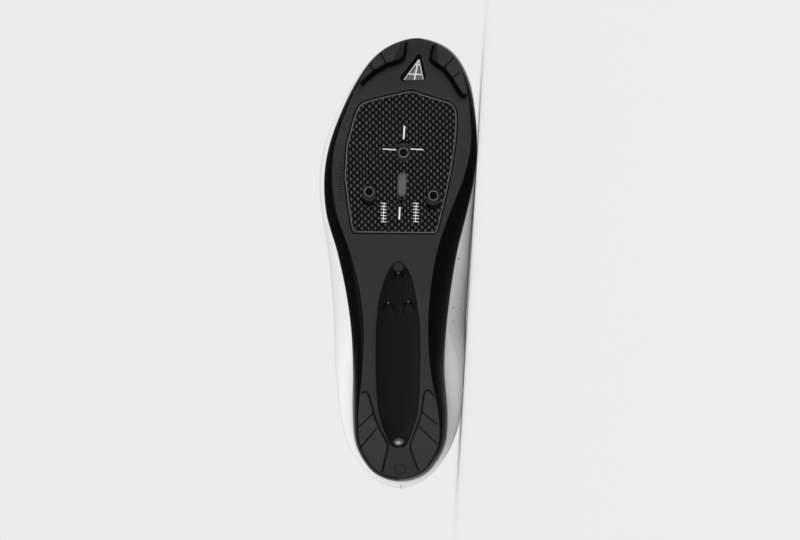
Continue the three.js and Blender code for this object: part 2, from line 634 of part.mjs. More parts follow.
// The share of a rib that lies at a distance from the top line, along the surface.
function shareFromTop(rib, distance) {
  let share = 1;
  let gone = 0;
  let last = upperFace(rib, share);
  while (gone < distance) {
    share -= 0.005;
    const next = upperFace(rib, share);
    gone += next.distanceTo(last);
    last = next;
  }
  return share;
}

const FIRST_EYELET = THROAT_FRONT + 0.75;
const LAST_EYELET = THROAT_FRONT + 3.55;
const eyeletRibs = spread(EYELETS - 1).map((t) => FIRST_EYELET + (LAST_EYELET - FIRST_EYELET) * t);
const otherSide = (rib) => LOOP - rib;

function eyeletHole(rib) {
  const share = shareFromTop(rib, EYELET_INSET);
  const geometry = new THREE.CylinderGeometry(EYELET_RADIUS, EYELET_RADIUS, 14, 8);
  const up = new THREE.Vector3(0, 1, 0);
  geometry.applyQuaternion(new THREE.Quaternion().setFromUnitVectors(up, faceNormal(rib, share)));
  const centre = upperFace(rib, share);
  geometry.translate(centre.x, centre.y, centre.z);
  return solidOf(fromTriangles(cornersOf(geometry)));
}

const eyeletHoles = eyeletRibs.flatMap((rib) => [rib, otherSide(rib)]).map(eyeletHole);
const withHoles = (solid) => eyeletHoles.reduce((made, hole) => made.subtract(hole), solid);

addPiece('upper', withHoles(shell(() => 0, wallDepth)), MATERIALS.upper);

// Eyestay: a second layer around the throat, in the shape of a U
function eyestay() {
  const side = (sign) => [8.4, 7.7, 7, 6.4, 6, 5.75].map((station, i) => {
    const rib = THROAT_FRONT + 4.15 - (8.4 - station) * 1.6;
    const top = upperFace(sign < 0 ? rib : otherSide(rib), 1);
    const forward = i > 3 ? (i - 3) * 3.2 : 0;
    const aside = sign * EYESTAY_INSET * (i > 4 ? 0.6 : 1);
    return new THREE.Vector2(top.x + forward, top.y + aside);
  });
  const outline = [...side(-1), ...side(1).reverse()];
  const layer = shell(() => -GAP - EYESTAY_THICKNESS, () => -GAP);
  return withHoles(layer.intersect(prism(outline, 40, 140)));
}

addPiece('eyestay', eyestay(), MATERIALS.upper);

// Tongue: follows the upper's inside under both edges of the throat and bridges it
function tongueCurve(rib, depth) {
  const shares = [0.97, 0.985, 1].map((_, i) => shareFromTop(rib, EYELET_INSET * (1.9 - 0.95 * i)));
  const under = (at, share) => upperPoint(at, share, wallDepth(at, share) + depth);
  const edges = [rib, otherSide(rib)].map((at) => shares.map((share) => under(at, share)));
  const [left, right] = edges;
  const crown = left[2].clone().sub(left[1]).add(right[2].clone().sub(right[1])).multiplyScalar(0.5);
  const bridge = left[2].clone().add(right[2]).multiplyScalar(0.5)
    .addScaledVector(crown, left[2].distanceTo(right[2]) / (4 * left[2].distanceTo(left[1])));
  return new THREE.CatmullRomCurve3([...left, bridge, ...right.reverse()]);
}

function tongue() {
  const first = THROAT_FRONT + 0.2;
  const last = THROAT_FRONT + 3.6;
  const across = spread(10);
  const sections = [];
  const depths = [TONGUE_GAP, TONGUE_GAP + TONGUE_THICKNESS];
  const curves = (rib) => depths.map((depth) => tongueCurve(rib, depth));
  const steps = 8;
  for (let i = 0; i <= steps; i++) {
    const [outer, inner] = curves(first + ((last - first) * i) / steps);
    sections.push({
      outer: across.map((t) => outer.getPoint(t)),
      inner: across.map((t) => inner.getPoint(t)),
    });
  }
  const end = sections[steps];
  const before = sections[steps - 2];
  const rise = end.outer[5].clone().sub(before.outer[5]).normalize();
  for (const [share, narrow] of [[0.12, 0.75], [0.5, 0.7], [0.85, 0.62], [1, 0.4]]) {
    const moved = (row) => row.map((point, i) => {
      const shift = point.clone().lerp(row[5], 1 - narrow);
      return shift.addScaledVector(rise, TONGUE_RISE * share);
    });
    sections.push({ outer: moved(end.outer), inner: moved(end.inner) });
  }
  const rings = sections.map(({ outer, inner }) => [...outer, ...[...inner].reverse()]);
  return solidFromTube(rings);
}

// A solid through rings of points, with its two ends closed.
function solidFromTube(rings) {
  const corners = [];
  for (let i = 0; i + 1 < rings.length; i++) bandBetween(corners, rings[i], rings[i + 1]);
  for (const [ringAt, flip] of [[rings[0], false], [rings[rings.length - 1], true]]) {
    const count = ringAt.length;
    const closing = [];
    for (let i = 0; i < count / 2 - 1; i++) {
      const [a, b] = [ringAt[i], ringAt[i + 1]];
      const [c, d] = [ringAt[count - 2 - i], ringAt[count - 1 - i]];
      closing.push(a, b, c, a, c, d);
    }
    if (!flip) closing.reverse();
    corners.push(...closing);
  }
  return solidOf(fromTriangles(corners));
}

addPiece('tongue', tongue(), MATERIALS.upper);

// Insole: a foam bed that lies in the sole's seat
function insole() {
  const shares = SEAT_SHARES;
  const bottom = shares.map((share) => ring((rib) => seatPoint(rib, SOLE_RIM, share, GAP)));
  const top = shares.map((share) => ring((rib) => {
    const thickness = INSOLE_THICKNESS * Math.min(1, 0.4 + 3 * (share - shares[0]));
    return seatPoint(rib, SOLE_RIM, share, GAP + thickness);
  }));
  return solidFromRings([...bottom.reverse(), ...top]);
}

addPiece('insole', insole(), MATERIALS.lining);

// Lace: one flat bar across the throat at each pair of eyelets, down into the holes
function laceBar(rib) {
  const ends = [rib, otherSide(rib)].map((at) => {
    const share = shareFromTop(at, EYELET_INSET);
    const lift = -(GAP + EYESTAY_THICKNESS + LACE_CLEARANCE);
    return {
      hole: upperPoint(at, share, 0.4),
      mouth: upperPoint(at, shareFromTop(at, EYELET_INSET - 0.2), lift),
      edge: upperPoint(at, shareFromTop(at, 1.5), lift),
    };
  });
  const [left, right] = ends;
  const top = left.edge.clone().add(right.edge).multiplyScalar(0.5);
  const rise = left.edge.clone().sub(left.mouth).add(right.edge).sub(right.mouth).multiplyScalar(0.35);
  const path = new THREE.CatmullRomCurve3([
    left.hole, left.mouth, left.edge, top.add(rise), right.edge, right.mouth, right.hole,
  ], false, 'centripetal');
  const lengthwise = upperFace(rib + 0.2, 1).sub(upperFace(rib - 0.2, 1)).setY(0).normalize();
  const steps = spread(11);
  const rings = steps.map((t) => {
    const centre = path.getPoint(t);
    const ahead = path.getTangent(t);
    const wide = lengthwise.clone().addScaledVector(ahead, -lengthwise.dot(ahead)).normalize();
    const thick = ahead.clone().cross(wide).normalize();
    const squeeze = THREE.MathUtils.smoothstep(Math.min(t, 1 - t), 0.02, 0.14);
    const half = THREE.MathUtils.lerp(EYELET_RADIUS - 3 * GAP, LACE_WIDTH / 2, squeeze);
    return Array.from({ length: LACE_SIDES }, (_, i) => {
      const angle = (2 * Math.PI * (i + 0.5)) / LACE_SIDES;
      return centre.clone().addScaledVector(wide, half * Math.cos(angle))
        .addScaledVector(thick, (LACE_THICKNESS / 2) * Math.sin(angle));
    });
  });
  return solidFromTube(rings);
}

eyeletRibs.forEach((rib, i) => addPiece(`lace_bar_${i + 1}`, laceBar(rib), MATERIALS.lace));

// Volume, centre and corners of all the pieces together
function massOf(shoe) {
  shoe.updateMatrixWorld(true);
  const centre = new THREE.Vector3();
  const points = [];
  let volume = 0;
  shoe.traverse((piece) => {
    if (!piece.isMesh) return;
    const corners = cornersOf(piece.geometry.clone().applyMatrix4(piece.matrixWorld));
    for (let i = 0; i < corners.length; i += 3) {
      const [a, b, c] = corners.slice(i, i + 3);
      const share = a.dot(b.clone().cross(c)) / 6;
      centre.addScaledVector(a.clone().add(b).add(c), share / 4);
      volume += share;
    }
    points.push(...corners);
  });
  return { centre: centre.divideScalar(volume), points };
}

// Lays the shoe on its medial side, on the flattest face of its convex hull that has the centre of
// mass over it, and turns the toe to +X.
function layOnSide(shoe) {
  const { centre, points } = massOf(shoe);
  const rests = new ConvexHull().setFromPoints(points).faces.filter((face) => {
    const corners = [0, 1, 2].map((i) => face.getEdge(i).head().point);
    const plane = new THREE.Plane().setFromCoplanarPoints(...corners);
    const foot = plane.projectPoint(centre, new THREE.Vector3());
    return new THREE.Triangle(...corners).containsPoint(foot);
  });
  const floor = rests.reduce((best, face) => (face.normal.y > best.normal.y ? face : best));
  const lay = new THREE.Quaternion().setFromUnitVectors(floor.normal, new THREE.Vector3(0, 0, -1));
  const toe = new THREE.Vector3(1, 0, 0).applyQuaternion(lay);
  const up = new THREE.Vector3(0, 0, 1);
  const turn = new THREE.Quaternion().setFromAxisAngle(up, -Math.atan2(toe.y, toe.x));
  shoe.quaternion.copy(turn.multiply(lay));
  shoe.updateMatrixWorld(true);
  const box = new THREE.Box3().setFromObject(shoe, true);
  shoe.position.set(-(box.min.x + box.max.x) / 2, -(box.min.y + box.max.y) / 2, -box.min.z);
  shoe.updateMatrixWorld(true);
}

layOnSide(group);

export default group;
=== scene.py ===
# A lace-up road cycling shoe for the right foot, lying on its medial side on a pale studio floor.
import json
import math

import bmesh
import bpy
import numpy as np
from mathutils import Matrix, Vector, geometry


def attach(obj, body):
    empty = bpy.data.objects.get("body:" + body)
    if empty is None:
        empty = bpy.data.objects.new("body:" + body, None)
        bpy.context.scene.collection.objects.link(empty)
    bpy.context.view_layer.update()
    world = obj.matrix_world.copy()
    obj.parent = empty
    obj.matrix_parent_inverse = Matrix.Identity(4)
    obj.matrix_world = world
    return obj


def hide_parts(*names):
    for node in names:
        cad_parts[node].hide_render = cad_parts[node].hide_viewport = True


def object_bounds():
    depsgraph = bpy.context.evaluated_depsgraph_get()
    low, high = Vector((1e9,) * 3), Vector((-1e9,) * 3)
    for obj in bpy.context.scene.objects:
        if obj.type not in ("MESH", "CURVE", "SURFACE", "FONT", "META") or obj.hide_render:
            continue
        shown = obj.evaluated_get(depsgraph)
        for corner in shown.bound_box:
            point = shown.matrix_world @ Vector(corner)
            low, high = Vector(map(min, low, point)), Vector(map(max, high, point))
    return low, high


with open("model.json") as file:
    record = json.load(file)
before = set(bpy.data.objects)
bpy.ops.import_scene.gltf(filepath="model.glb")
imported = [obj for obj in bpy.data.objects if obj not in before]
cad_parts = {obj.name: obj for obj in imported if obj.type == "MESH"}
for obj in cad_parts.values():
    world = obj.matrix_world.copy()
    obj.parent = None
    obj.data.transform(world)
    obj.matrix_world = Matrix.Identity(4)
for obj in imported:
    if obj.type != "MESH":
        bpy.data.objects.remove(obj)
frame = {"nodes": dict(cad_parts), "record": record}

cad_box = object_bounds()


# Camera: it stands where the photograph's did, 1.6 m in front of the sole and just above the floor
# that the shoe lies on, with the toe up in the picture.
PICTURE_WIDTH = 0.523  # metres across the picture at the sole
bpy.ops.object.select_all(action="DESELECT")
seat = Vector((-0.0031, -1.6535, 0.0192))
aim = Vector((-0.0052, cad_box[0].y + 0.012, 0.0461))
back = (seat - aim).normalized()
toe_up = Vector((0.99830, 0.0, 0.05834))
toe_up = (toe_up - back * toe_up.dot(back)).normalized()
right = toe_up.cross(back)
bpy.ops.object.camera_add()
camera = bpy.context.object
camera.data.lens = 36 * (seat - aim).length / PICTURE_WIDTH
camera.data.clip_start = 0.05
camera.data.clip_end = 60
camera.matrix_world = Matrix((
    (right.x, toe_up.x, back.x, seat.x),
    (right.y, toe_up.y, back.y, seat.y),
    (right.z, toe_up.z, back.z, seat.z),
    (0, 0, 0, 1),
))
bpy.context.scene.camera = camera
bpy.context.scene.view_settings.view_transform = "Standard"


# Studio: a wide pale floor under an even sky of the same tone, and one broad soft light from the
# camera's side.
FLOOR_TONE = 0.9
SKY_TONE = 0.838
bpy.ops.mesh.primitive_circle_add(vertices=96, radius=14, fill_type="NGON", location=(0, 0, 0))
floor = bpy.context.object
floor.name = "studio_floor"
floor_material = bpy.data.materials.new("studio_floor")
floor_material.use_nodes = True
floor_shader = floor_material.node_tree.nodes["Principled BSDF"]
floor_shader.inputs["Base Color"].default_value = (FLOOR_TONE, FLOOR_TONE, FLOOR_TONE, 1)
floor_shader.inputs["Roughness"].default_value = 0.9
floor_shader.inputs["Specular IOR Level"].default_value = 0.1
floor.data.materials.append(floor_material)

sky = bpy.data.worlds.new("studio_sky")
sky.use_nodes = True
sky_nodes = sky.node_tree.nodes
sky_light = sky_nodes["Background"]
sky_light.inputs["Color"].default_value = (1, 1, 1, 1)
sky_light.inputs["Strength"].default_value = 0.66
shine = sky_nodes.new("ShaderNodeBackground")
shine.inputs["Color"].default_value = (1, 1, 1, 1)
shine.inputs["Strength"].default_value = 0.3
sky_seen = sky_nodes.new("ShaderNodeBackground")
sky_seen.inputs["Color"].default_value = (1, 1, 1, 1)
sky_seen.inputs["Strength"].default_value = SKY_TONE
sky_path = sky_nodes.new("ShaderNodeLightPath")


def sky_mix(ray, usual, for_ray):
    mix = sky_nodes.new("ShaderNodeMixShader")
    sky.node_tree.links.new(sky_path.outputs[ray], mix.inputs[0])
    sky.node_tree.links.new(usual.outputs[0], mix.inputs[1])
    sky.node_tree.links.new(for_ray.outputs[0], mix.inputs[2])
    return mix


whole_sky = sky_mix("Is Camera Ray", sky_mix("Is Glossy Ray", sky_light, shine), sky_seen)
sky.node_tree.links.new(whole_sky.outputs[0], sky_nodes["World Output"].inputs["Surface"])
bpy.context.scene.world = sky

for light_name, strength, spread, turn in (
    ("key_light", 1.1, 60, (50, 0, 12)),
    ("fill_light", 0.45, 120, (62, 0, -40)),
):
    bpy.ops.object.light_add(type="SUN", rotation=[math.radians(a) for a in turn])
    bpy.context.object.name = light_name
    bpy.context.object.data.energy = strength
    bpy.context.object.data.angle = math.radians(spread)


# Outsole: one stiff tray, moulded in black plastic with a satin underside and glossy sides. It
# carries the whole shoe: a window for the carbon plate, beds for the tread pads, a vent under the
# toes and a long recess under the arch.
LENGTH = 298
BALL_WIDTH = 100
SIDE_HEIGHT = 32
TOE_SPRING = 28
GAP = 0.3
SOLE_THICKNESS = 6
SOLE_CROWN = 2.2
SOLE_RIM = 3
WALL_SHAPE = 1.35
PLATE_RECESS = 0.7
PLATE_THICKNESS = 1.4
CLEAT_BASE = 42
CLEAT_DEPTH = 30
CLEAT_TURN = math.radians(3.5)
CLEAT_TRAVEL = 2.3
SLOT_LENGTH = 14
NUT_RADIUS = 4.3
NUT_FLANGE_RADIUS = 6.4
NUT_FLANGE = 1.1
VENT_SLOT = (16, 6)
LOCATOR_RADIUS = 2.3
SCREEN_THICKNESS = 1
TOE_VENT_SINK = 3
TOE_PAD_HEIGHT = 3.4
HEEL_PAD_HEIGHT = 1.8
ARCH_RECESS_DEPTH = 3.8
BACK_OF_PLATE = PLATE_RECESS + PLATE_THICKNESS
NUT_SEAT = BACK_OF_PLATE + 2.2 * GAP
POCKET = NUT_SEAT + NUT_FLANGE + 2 * GAP
SCREEN_SEAT = BACK_OF_PLATE + SCREEN_THICKNESS + 2 * GAP

# Stations from the tip of the toe (0) to the back of the heel (16), as shares: x, spine and roofX of
# the length; lateral, medial, tuck, open and swell of the ball's width; under of the toe spring; side
# of the side's height; roof of the collar's height.
COLUMNS = [
    "x", "spine", "roofX", "lateral", "medial", "under", "sideL", "sideM", "tuckL", "tuckM",
    "openL", "openM", "roof", "arch", "swellL", "swellM", "swellAt",
]
STATIONS = [
    [1.0, 0.886, 0.888, -0.1, 0.1, 1.0, 1.1, 1.1, 0.018, 0.018,
     0, 0, 0.6, 1, 0.01, 0.01, 0.3],
    [0.985, 0.88, 0.882, 0.065, 0.265, 0.82, 1.05, 1.05, 0.019, 0.019,
     0, 0, 0.602, 1, 0.012, 0.01, 0.3],
    [0.952, 0.862, 0.864, 0.191, 0.376, 0.62, 0.91, 0.91, 0.022, 0.022,
     0, 0, 0.612, 1, 0.02, 0.01, 0.3],
    [0.899, 0.834, 0.836, 0.297, 0.449, 0.42, 0.72, 0.72, 0.028, 0.028,
     0, 0, 0.632, 1, 0.03, 0.012, 0.3],
    [0.832, 0.794, 0.794, 0.392, 0.485, 0.27, 0.565, 0.565, 0.036, 0.032,
     0, 0, 0.665, 1, 0.045, 0.008, 0.3],
    [0.758, 0.74, 0.738, 0.469, 0.5, 0.21, 0.49, 0.49, 0.045, 0.04,
     0, 0, 0.715, 1, 0.058, 0.004, 0.3],
    [0.685, 0.678, 0.672, 0.502, 0.481, 0.24, 0.51, 0.525, 0.06, 0.07,
     0, 0, 0.785, 1, 0.062, 0.021, 0.32],
    [0.607, 0.606, 0.602, 0.488, 0.43, 0.34, 0.6, 0.66, 0.075, 0.11,
     0.115, 0.115, 0.865, 0.95, 0.068, 0.068, 0.36],
    [0.527, 0.527, 0.527, 0.422, 0.37, 0.43, 0.71, 0.81, 0.09, 0.13,
     0.15, 0.15, 0.95, 0.85, 0.108, 0.118, 0.39],
    [0.44, 0.44, 0.445, 0.366, 0.326, 0.48, 0.78, 0.93, 0.1, 0.13,
     0.18, 0.18, 1.025, 0.7, 0.15, 0.146, 0.43],
    [0.352, 0.352, 0.37, 0.33, 0.296, 0.45, 0.785, 0.95, 0.09, 0.115,
     0.235, 0.235, 1.05, 0.5, 0.156, 0.148, 0.43],
    [0.262, 0.265, 0.285, 0.317, 0.284, 0.32, 0.735, 0.85, 0.07, 0.085,
     0.3, 0.295, 0.865, 0.2, 0.124, 0.132, 0.25],
    [0.168, 0.188, 0.185, 0.318, 0.306, 0.18, 0.675, 0.72, 0.048, 0.055,
     0.335, 0.325, 0.765, 0, 0.083, 0.086, 0.15],
    [0.101, 0.144, 0.112, 0.297, 0.29, 0.14, 0.64, 0.66, 0.042, 0.042,
     0.32, 0.315, 0.85, 0, 0.05, 0.042, 0.15],
    [0.052, 0.124, 0.06, 0.218, 0.212, 0.15, 0.65, 0.65, 0.04, 0.04,
     0.245, 0.24, 0.93, 0, 0.036, 0.03, 0.17],
    [0.0275, 0.116, 0.032, 0.125, 0.12, 0.16, 0.67, 0.67, 0.04, 0.04,
     0.132, 0.13, 0.985, 0, 0.042, 0.038, 0.18],
    [0.0185, 0.114, 0.0235, 0, 0, 0.17, 0.68, 0.68, 0.04, 0.04,
     0, 0, 1.0, 0, 0.055, 0.055, 0.19],
]
HEEL = len(STATIONS) - 1
LOOP = 2 * HEEL
FORM = np.array(STATIONS)


def column(lateral, medial=None):
    """A column's values round the loop: the lateral side from toe to heel, then the medial one."""
    left = FORM[:, COLUMNS.index(lateral)]
    right = FORM[:, COLUMNS.index(medial or lateral)]
    return np.concatenate([left, right[HEEL - 1:0:-1]])


def along(rib, values):
    """A value anywhere on the loop, on a smooth curve through the stations."""
    rib = np.asarray(rib, float)
    low = np.floor(rib).astype(int)
    t = rib - low
    a, b, c, d = (values[(low + step) % LOOP] for step in (-1, 0, 1, 2))
    return b + 0.5 * t * (c - a + t * (2 * a - 5 * b + 4 * c - d + t * (3 * (b - c) + d - a)))


EDGE_ACROSS = column("lateral", "medial") * np.where(np.arange(LOOP) <= HEEL, -1, 1)
MIDDLE = (column("medial") - column("lateral")) / 2


def edge_point(rib):
    return np.stack([
        LENGTH * along(rib, column("x")),
        BALL_WIDTH * along(rib, EDGE_ACROSS),
        SIDE_HEIGHT * along(rib, column("sideL", "sideM")),
    ], -1)


def spine_point(rib):
    x = LENGTH * along(rib, column("spine"))
    return np.stack([x, BALL_WIDTH * along(rib, MIDDLE), 0 * x], -1)


def unit(vectors):
    return vectors / np.linalg.norm(vectors, axis=-1, keepdims=True)


def inward(rib):
    return unit((spine_point(rib) - edge_point(rib)) * (1, 1, 0))


fine_ribs = np.linspace(HEEL, 0, 4001)
fine_x = LENGTH * along(fine_ribs, column("x"))
fine_under = TOE_SPRING * along(fine_ribs, column("under"))


def under_height(x):
    """Height of the sole's underside on its middle line."""
    return np.interp(x, fine_x, fine_under)


def underside_point(rib, share, raised=0.0):
    tuck = BALL_WIDTH * along(rib, column("tuckL", "tuckM"))
    edge = edge_point(rib) + inward(rib) * tuck[..., None]
    point = edge + (spine_point(rib) - edge) * np.asarray(share)[..., None]
    point[..., 2] = under_height(point[..., 0]) + SOLE_CROWN * (1 - share) ** 4 + raised
    return point


def side_wall_point(rib, share):
    top = edge_point(rib)
    bottom = underside_point(rib, np.zeros_like(rib))
    angle = share * math.pi / 2
    across = 1 - math.cos(angle) ** WALL_SHAPE if share < 1 else 1.0
    down = math.sin(angle) ** WALL_SHAPE
    return top + (bottom - top) * (across, across, down)


def seat_point(rib, inset, share, raised=0.0):
    edge = edge_point(rib) + inward(rib) * inset
    point = edge + (spine_point(rib) - edge) * share
    bed = under_height(point[..., 0]) + SOLE_THICKNESS
    point[..., 2] = bed + np.maximum(edge[..., 2] - bed, 0) * (1 - share) ** 5 + raised
    return point


def sole_height(plan_points):
    """Height of the smooth underside over any plan point, with its slight crown."""
    x, y = np.asarray(plan_points, float).T
    order = np.argsort(spine_point(fine_ribs)[:, 0])
    spine_line = spine_point(fine_ribs)[order]
    lateral = y < np.interp(x, spine_line[:, 0], spine_line[:, 1])
    toe_end = np.where(lateral, 0.0, LOOP)
    heel_end = np.full(len(x), float(HEEL))

    def beside(rib):
        tuck = BALL_WIDTH * along(rib, column("tuckL", "tuckM"))
        edge = (edge_point(rib) + inward(rib) * tuck[:, None])[:, :2]
        return edge, spine_point(rib)[:, :2] - edge

    toe_side, heel_side = toe_end.copy(), heel_end.copy()
    for _ in range(26):
        rib = (toe_side + heel_side) / 2
        edge, ray = beside(rib)
        turn = ray[:, 0] * (y - edge[:, 1]) - ray[:, 1] * (x - edge[:, 0])
        heelward = np.where(lateral, turn < 0, turn > 0)
        toe_side = np.where(heelward, rib, toe_side)
        heel_side = np.where(heelward, heel_side, rib)
    edge, ray = beside((toe_side + heel_side) / 2)
    share = ((x - edge[:, 0]) * ray[:, 0] + (y - edge[:, 1]) * ray[:, 1]) / (ray ** 2).sum(1)
    return under_height(x) + SOLE_CROWN * (1 - np.clip(share, -0.2, 1)) ** 4


# How the shoe lies: found from its top edge on the fixed outsole, starting at the three nut faces.
CLEAT_CENTRE = np.array([0.694 * LENGTH, 0.015 * BALL_WIDTH])
CLEAT_SLOTS = {
    "cleat_nut_front": (CLEAT_DEPTH / 2, 0, -CLEAT_TRAVEL * 0.4),
    "cleat_nut_lateral": (-CLEAT_DEPTH / 2, -CLEAT_BASE / 2, CLEAT_TRAVEL),
    "cleat_nut_medial": (-CLEAT_DEPTH / 2, CLEAT_BASE / 2, CLEAT_TRAVEL),
}
forward = np.array([math.cos(CLEAT_TURN), math.sin(CLEAT_TURN)])
across = np.array([-forward[1], forward[0]])


def cleat_plan(ahead, aside):
    return CLEAT_CENTRE + ahead * forward + aside * across


def nut_frame(slot):
    """The nut's centre on the smooth underside and its slope along the shoe."""
    ahead, aside, shift = CLEAT_SLOTS[slot]
    at = cleat_plan(ahead + shift, aside)
    slope = (under_height(at[0] + 4) - under_height(at[0] - 4)) / 8
    return np.array([*at, sole_height(at[None])[0]]), math.atan(slope)


def fit(shoe, row):
    a, b = shoe - shoe.mean(0), row - row.mean(0)
    u, _, vt = np.linalg.svd(a.T @ b)
    turn = (vt.T * (1, 1, np.sign(np.linalg.det(vt.T @ u.T)))) @ u.T
    return turn, row.mean(0) - turn @ shoe.mean(0)


faces_of_nuts = []
for slot in CLEAT_SLOTS:
    centre, tilt = nut_frame(slot)
    c, s = math.cos(tilt), math.sin(tilt)
    faces_of_nuts.append(centre + np.array([3.4 * c - 1.0 * s, 0, 3.4 * s + 1.0 * c]))
mounts = {mount["name"]: mount for mount in frame["record"]["mounts"]}
seen_faces = np.array([mounts[slot + "_face"]["pos_m"] for slot in CLEAT_SLOTS]) * 1000
LAY, SHIFT = fit(np.array(faces_of_nuts), seen_faces)
cad_sole = frame["nodes"]["outsole"].data.vertices
cad_points = np.empty(len(cad_sole) * 3, np.float32)
cad_sole.foreach_get("co", cad_points)
cad_points = cad_points.reshape(-1, 3).astype(float) * 1000
rim = edge_point(np.arange(2 * LOOP) / 2)
for _ in range(3):
    guess = rim @ LAY.T + SHIFT
    nearest = [np.argmin(((cad_points - p) ** 2).sum(1)) for p in guess]
    LAY, SHIFT = fit(rim, cad_points[nearest])


def place(points):
    """From the shoe's own frame in millimetres to where it lies, in metres."""
    return (np.asarray(points) @ LAY.T + SHIFT) * 0.001


def new_material(name, tone, roughness, metallic=0.0, specular=0.5, coat=0.0):
    """A plain start for a finish. Its nodes are added where the piece is made."""
    material = bpy.data.materials.new(name)
    material.use_nodes = True
    shader = material.node_tree.nodes["Principled BSDF"]
    tone = tone if isinstance(tone, tuple) else (tone, tone, tone)
    shader.inputs["Base Color"].default_value = (*tone, 1)
    shader.inputs["Roughness"].default_value = roughness
    shader.inputs["Metallic"].default_value = metallic
    shader.inputs["Specular IOR Level"].default_value = specular
    shader.inputs["Coat Weight"].default_value = coat
    shader.inputs["Coat Roughness"].default_value = 0.08
    return material


def add_node(material, kind, inputs=None, **settings):
    node = material.node_tree.nodes.new(kind)
    for key, value in settings.items():
        setattr(node, key, value)
    for key, value in (inputs or {}).items():
        if isinstance(value, bpy.types.NodeSocket):
            material.node_tree.links.new(value, node.inputs[key])
        else:
            node.inputs[key].default_value = value
    return node


def to_shader(material, **sockets):
    shader = material.node_tree.nodes["Principled BSDF"]
    for key, value in sockets.items():
        material.node_tree.links.new(value, shader.inputs[key.replace("_", " ")])


# Fine grain of a moulded or sprayed surface, with a slower variation of tone
grain = bpy.data.node_groups.new("surface_grain", "ShaderNodeTree")
for socket, preset in (("Grain Scale", 1500.0), ("Cloud Scale", 40.0), ("Cloud Low", 0.9), ("Cloud High",
                                                                                            1.1)):
    grain.interface.new_socket(socket, in_out="INPUT", socket_type="NodeSocketFloat").default_value = preset
grain.interface.new_socket("Height", in_out="OUTPUT", socket_type="NodeSocketFloat")
grain.interface.new_socket("Cloud", in_out="OUTPUT", socket_type="NodeSocketFloat")
grain_in = grain.nodes.new("NodeGroupInput")
grain_out = grain.nodes.new("NodeGroupOutput")
grain_place = grain.nodes.new("ShaderNodeTexCoord")
grain_fine = grain.nodes.new("ShaderNodeTexNoise")
grain_fine.inputs["Detail"].default_value = 3
grain_cloud = grain.nodes.new("ShaderNodeTexNoise")
grain_cloud.inputs["Detail"].default_value = 2
grain_range = grain.nodes.new("ShaderNodeMapRange")
grain_range.inputs["From Min"].default_value = 0.3
grain_range.inputs["From Max"].default_value = 0.7
for source, target in (
    (grain_place.outputs["Object"], grain_fine.inputs["Vector"]),
    (grain_place.outputs["Object"], grain_cloud.inputs["Vector"]),
    (grain_in.outputs["Grain Scale"], grain_fine.inputs["Scale"]),
    (grain_in.outputs["Cloud Scale"], grain_cloud.inputs["Scale"]),
    (grain_cloud.outputs["Fac"], grain_range.inputs["Value"]),
    (grain_in.outputs["Cloud Low"], grain_range.inputs["To Min"]),
    (grain_in.outputs["Cloud High"], grain_range.inputs["To Max"]),
    (grain_fine.outputs["Fac"], grain_out.inputs["Height"]),
    (grain_range.outputs["Result"], grain_out.inputs["Cloud"]),
):
    grain.links.new(source, target)


def grained(material, tone, roughness, grain_scale=1500.0, cloud_scale=40.0, vary=0.1, depth=0.00005,
            strength=0.3):
    """Gives a finish its fine grain, and lets tone and roughness drift a little."""
    group = add_node(material, "ShaderNodeGroup", node_tree=grain, inputs=None)
    group.inputs["Grain Scale"].default_value = grain_scale
    group.inputs["Cloud Scale"].default_value = cloud_scale
    group.inputs["Cloud Low"].default_value = 1 - vary
    group.inputs["Cloud High"].default_value = 1 + vary
    tone = tone if isinstance(tone, tuple) else (tone, tone, tone)
    colour = add_node(material, "ShaderNodeVectorMath", operation="SCALE",
                      inputs={0: tone, "Scale": group.outputs["Cloud"]})
    rough = add_node(material, "ShaderNodeMath", operation="MULTIPLY",
                     inputs={0: group.outputs["Cloud"], 1: roughness})
    bump = add_node(material, "ShaderNodeBump", inputs={
        "Strength": strength, "Distance": depth, "Height": group.outputs["Height"]})
    to_shader(material, Base_Color=colour.outputs[0], Roughness=rough.outputs[0], Normal=bump.outputs[0])
    return material


satin = grained(new_material("sole_satin", 0.013, 0.45, specular=0.3), 0.014, 0.45, 1700.0, 25.0, 0.12,
                0.00006, 0.35)
gloss = grained(new_material("sole_gloss", 0.001, 0.2, specular=0.05), 0.001, 0.2, 500.0, 30.0, 0.1,
                0.00001, 0.1)
# Painted shade: a near-black finish put where shade falls, in the arch recess, deep gaps and pockets, pad grooves,
# the toe net's margin and the engraved ticks.
shade = grained(new_material("sole_painted_shade", 0.003, 0.5, specular=0.1), 0.003, 0.5, 1500.0, 30.0, 0.1,
                0.00004, 0.3)
# Painted highlights: a lighter finish on the three fin tips and round the spot at the recess's heel end, and a
# bright half-metal one in the spot's middle, where light would glint.
tip = grained(new_material("sole_tip_highlight", 0.06, 0.4, specular=0.3), 0.06, 0.4, 900.0, 60.0, 0.1, 0.00001, 0.1)
spot_highlight = grained(new_material("sole_polish", 0.45, 0.3, 0.5, 0.5), 0.45, 0.3, 900.0, 60.0, 0.1, 0.00001, 0.1)


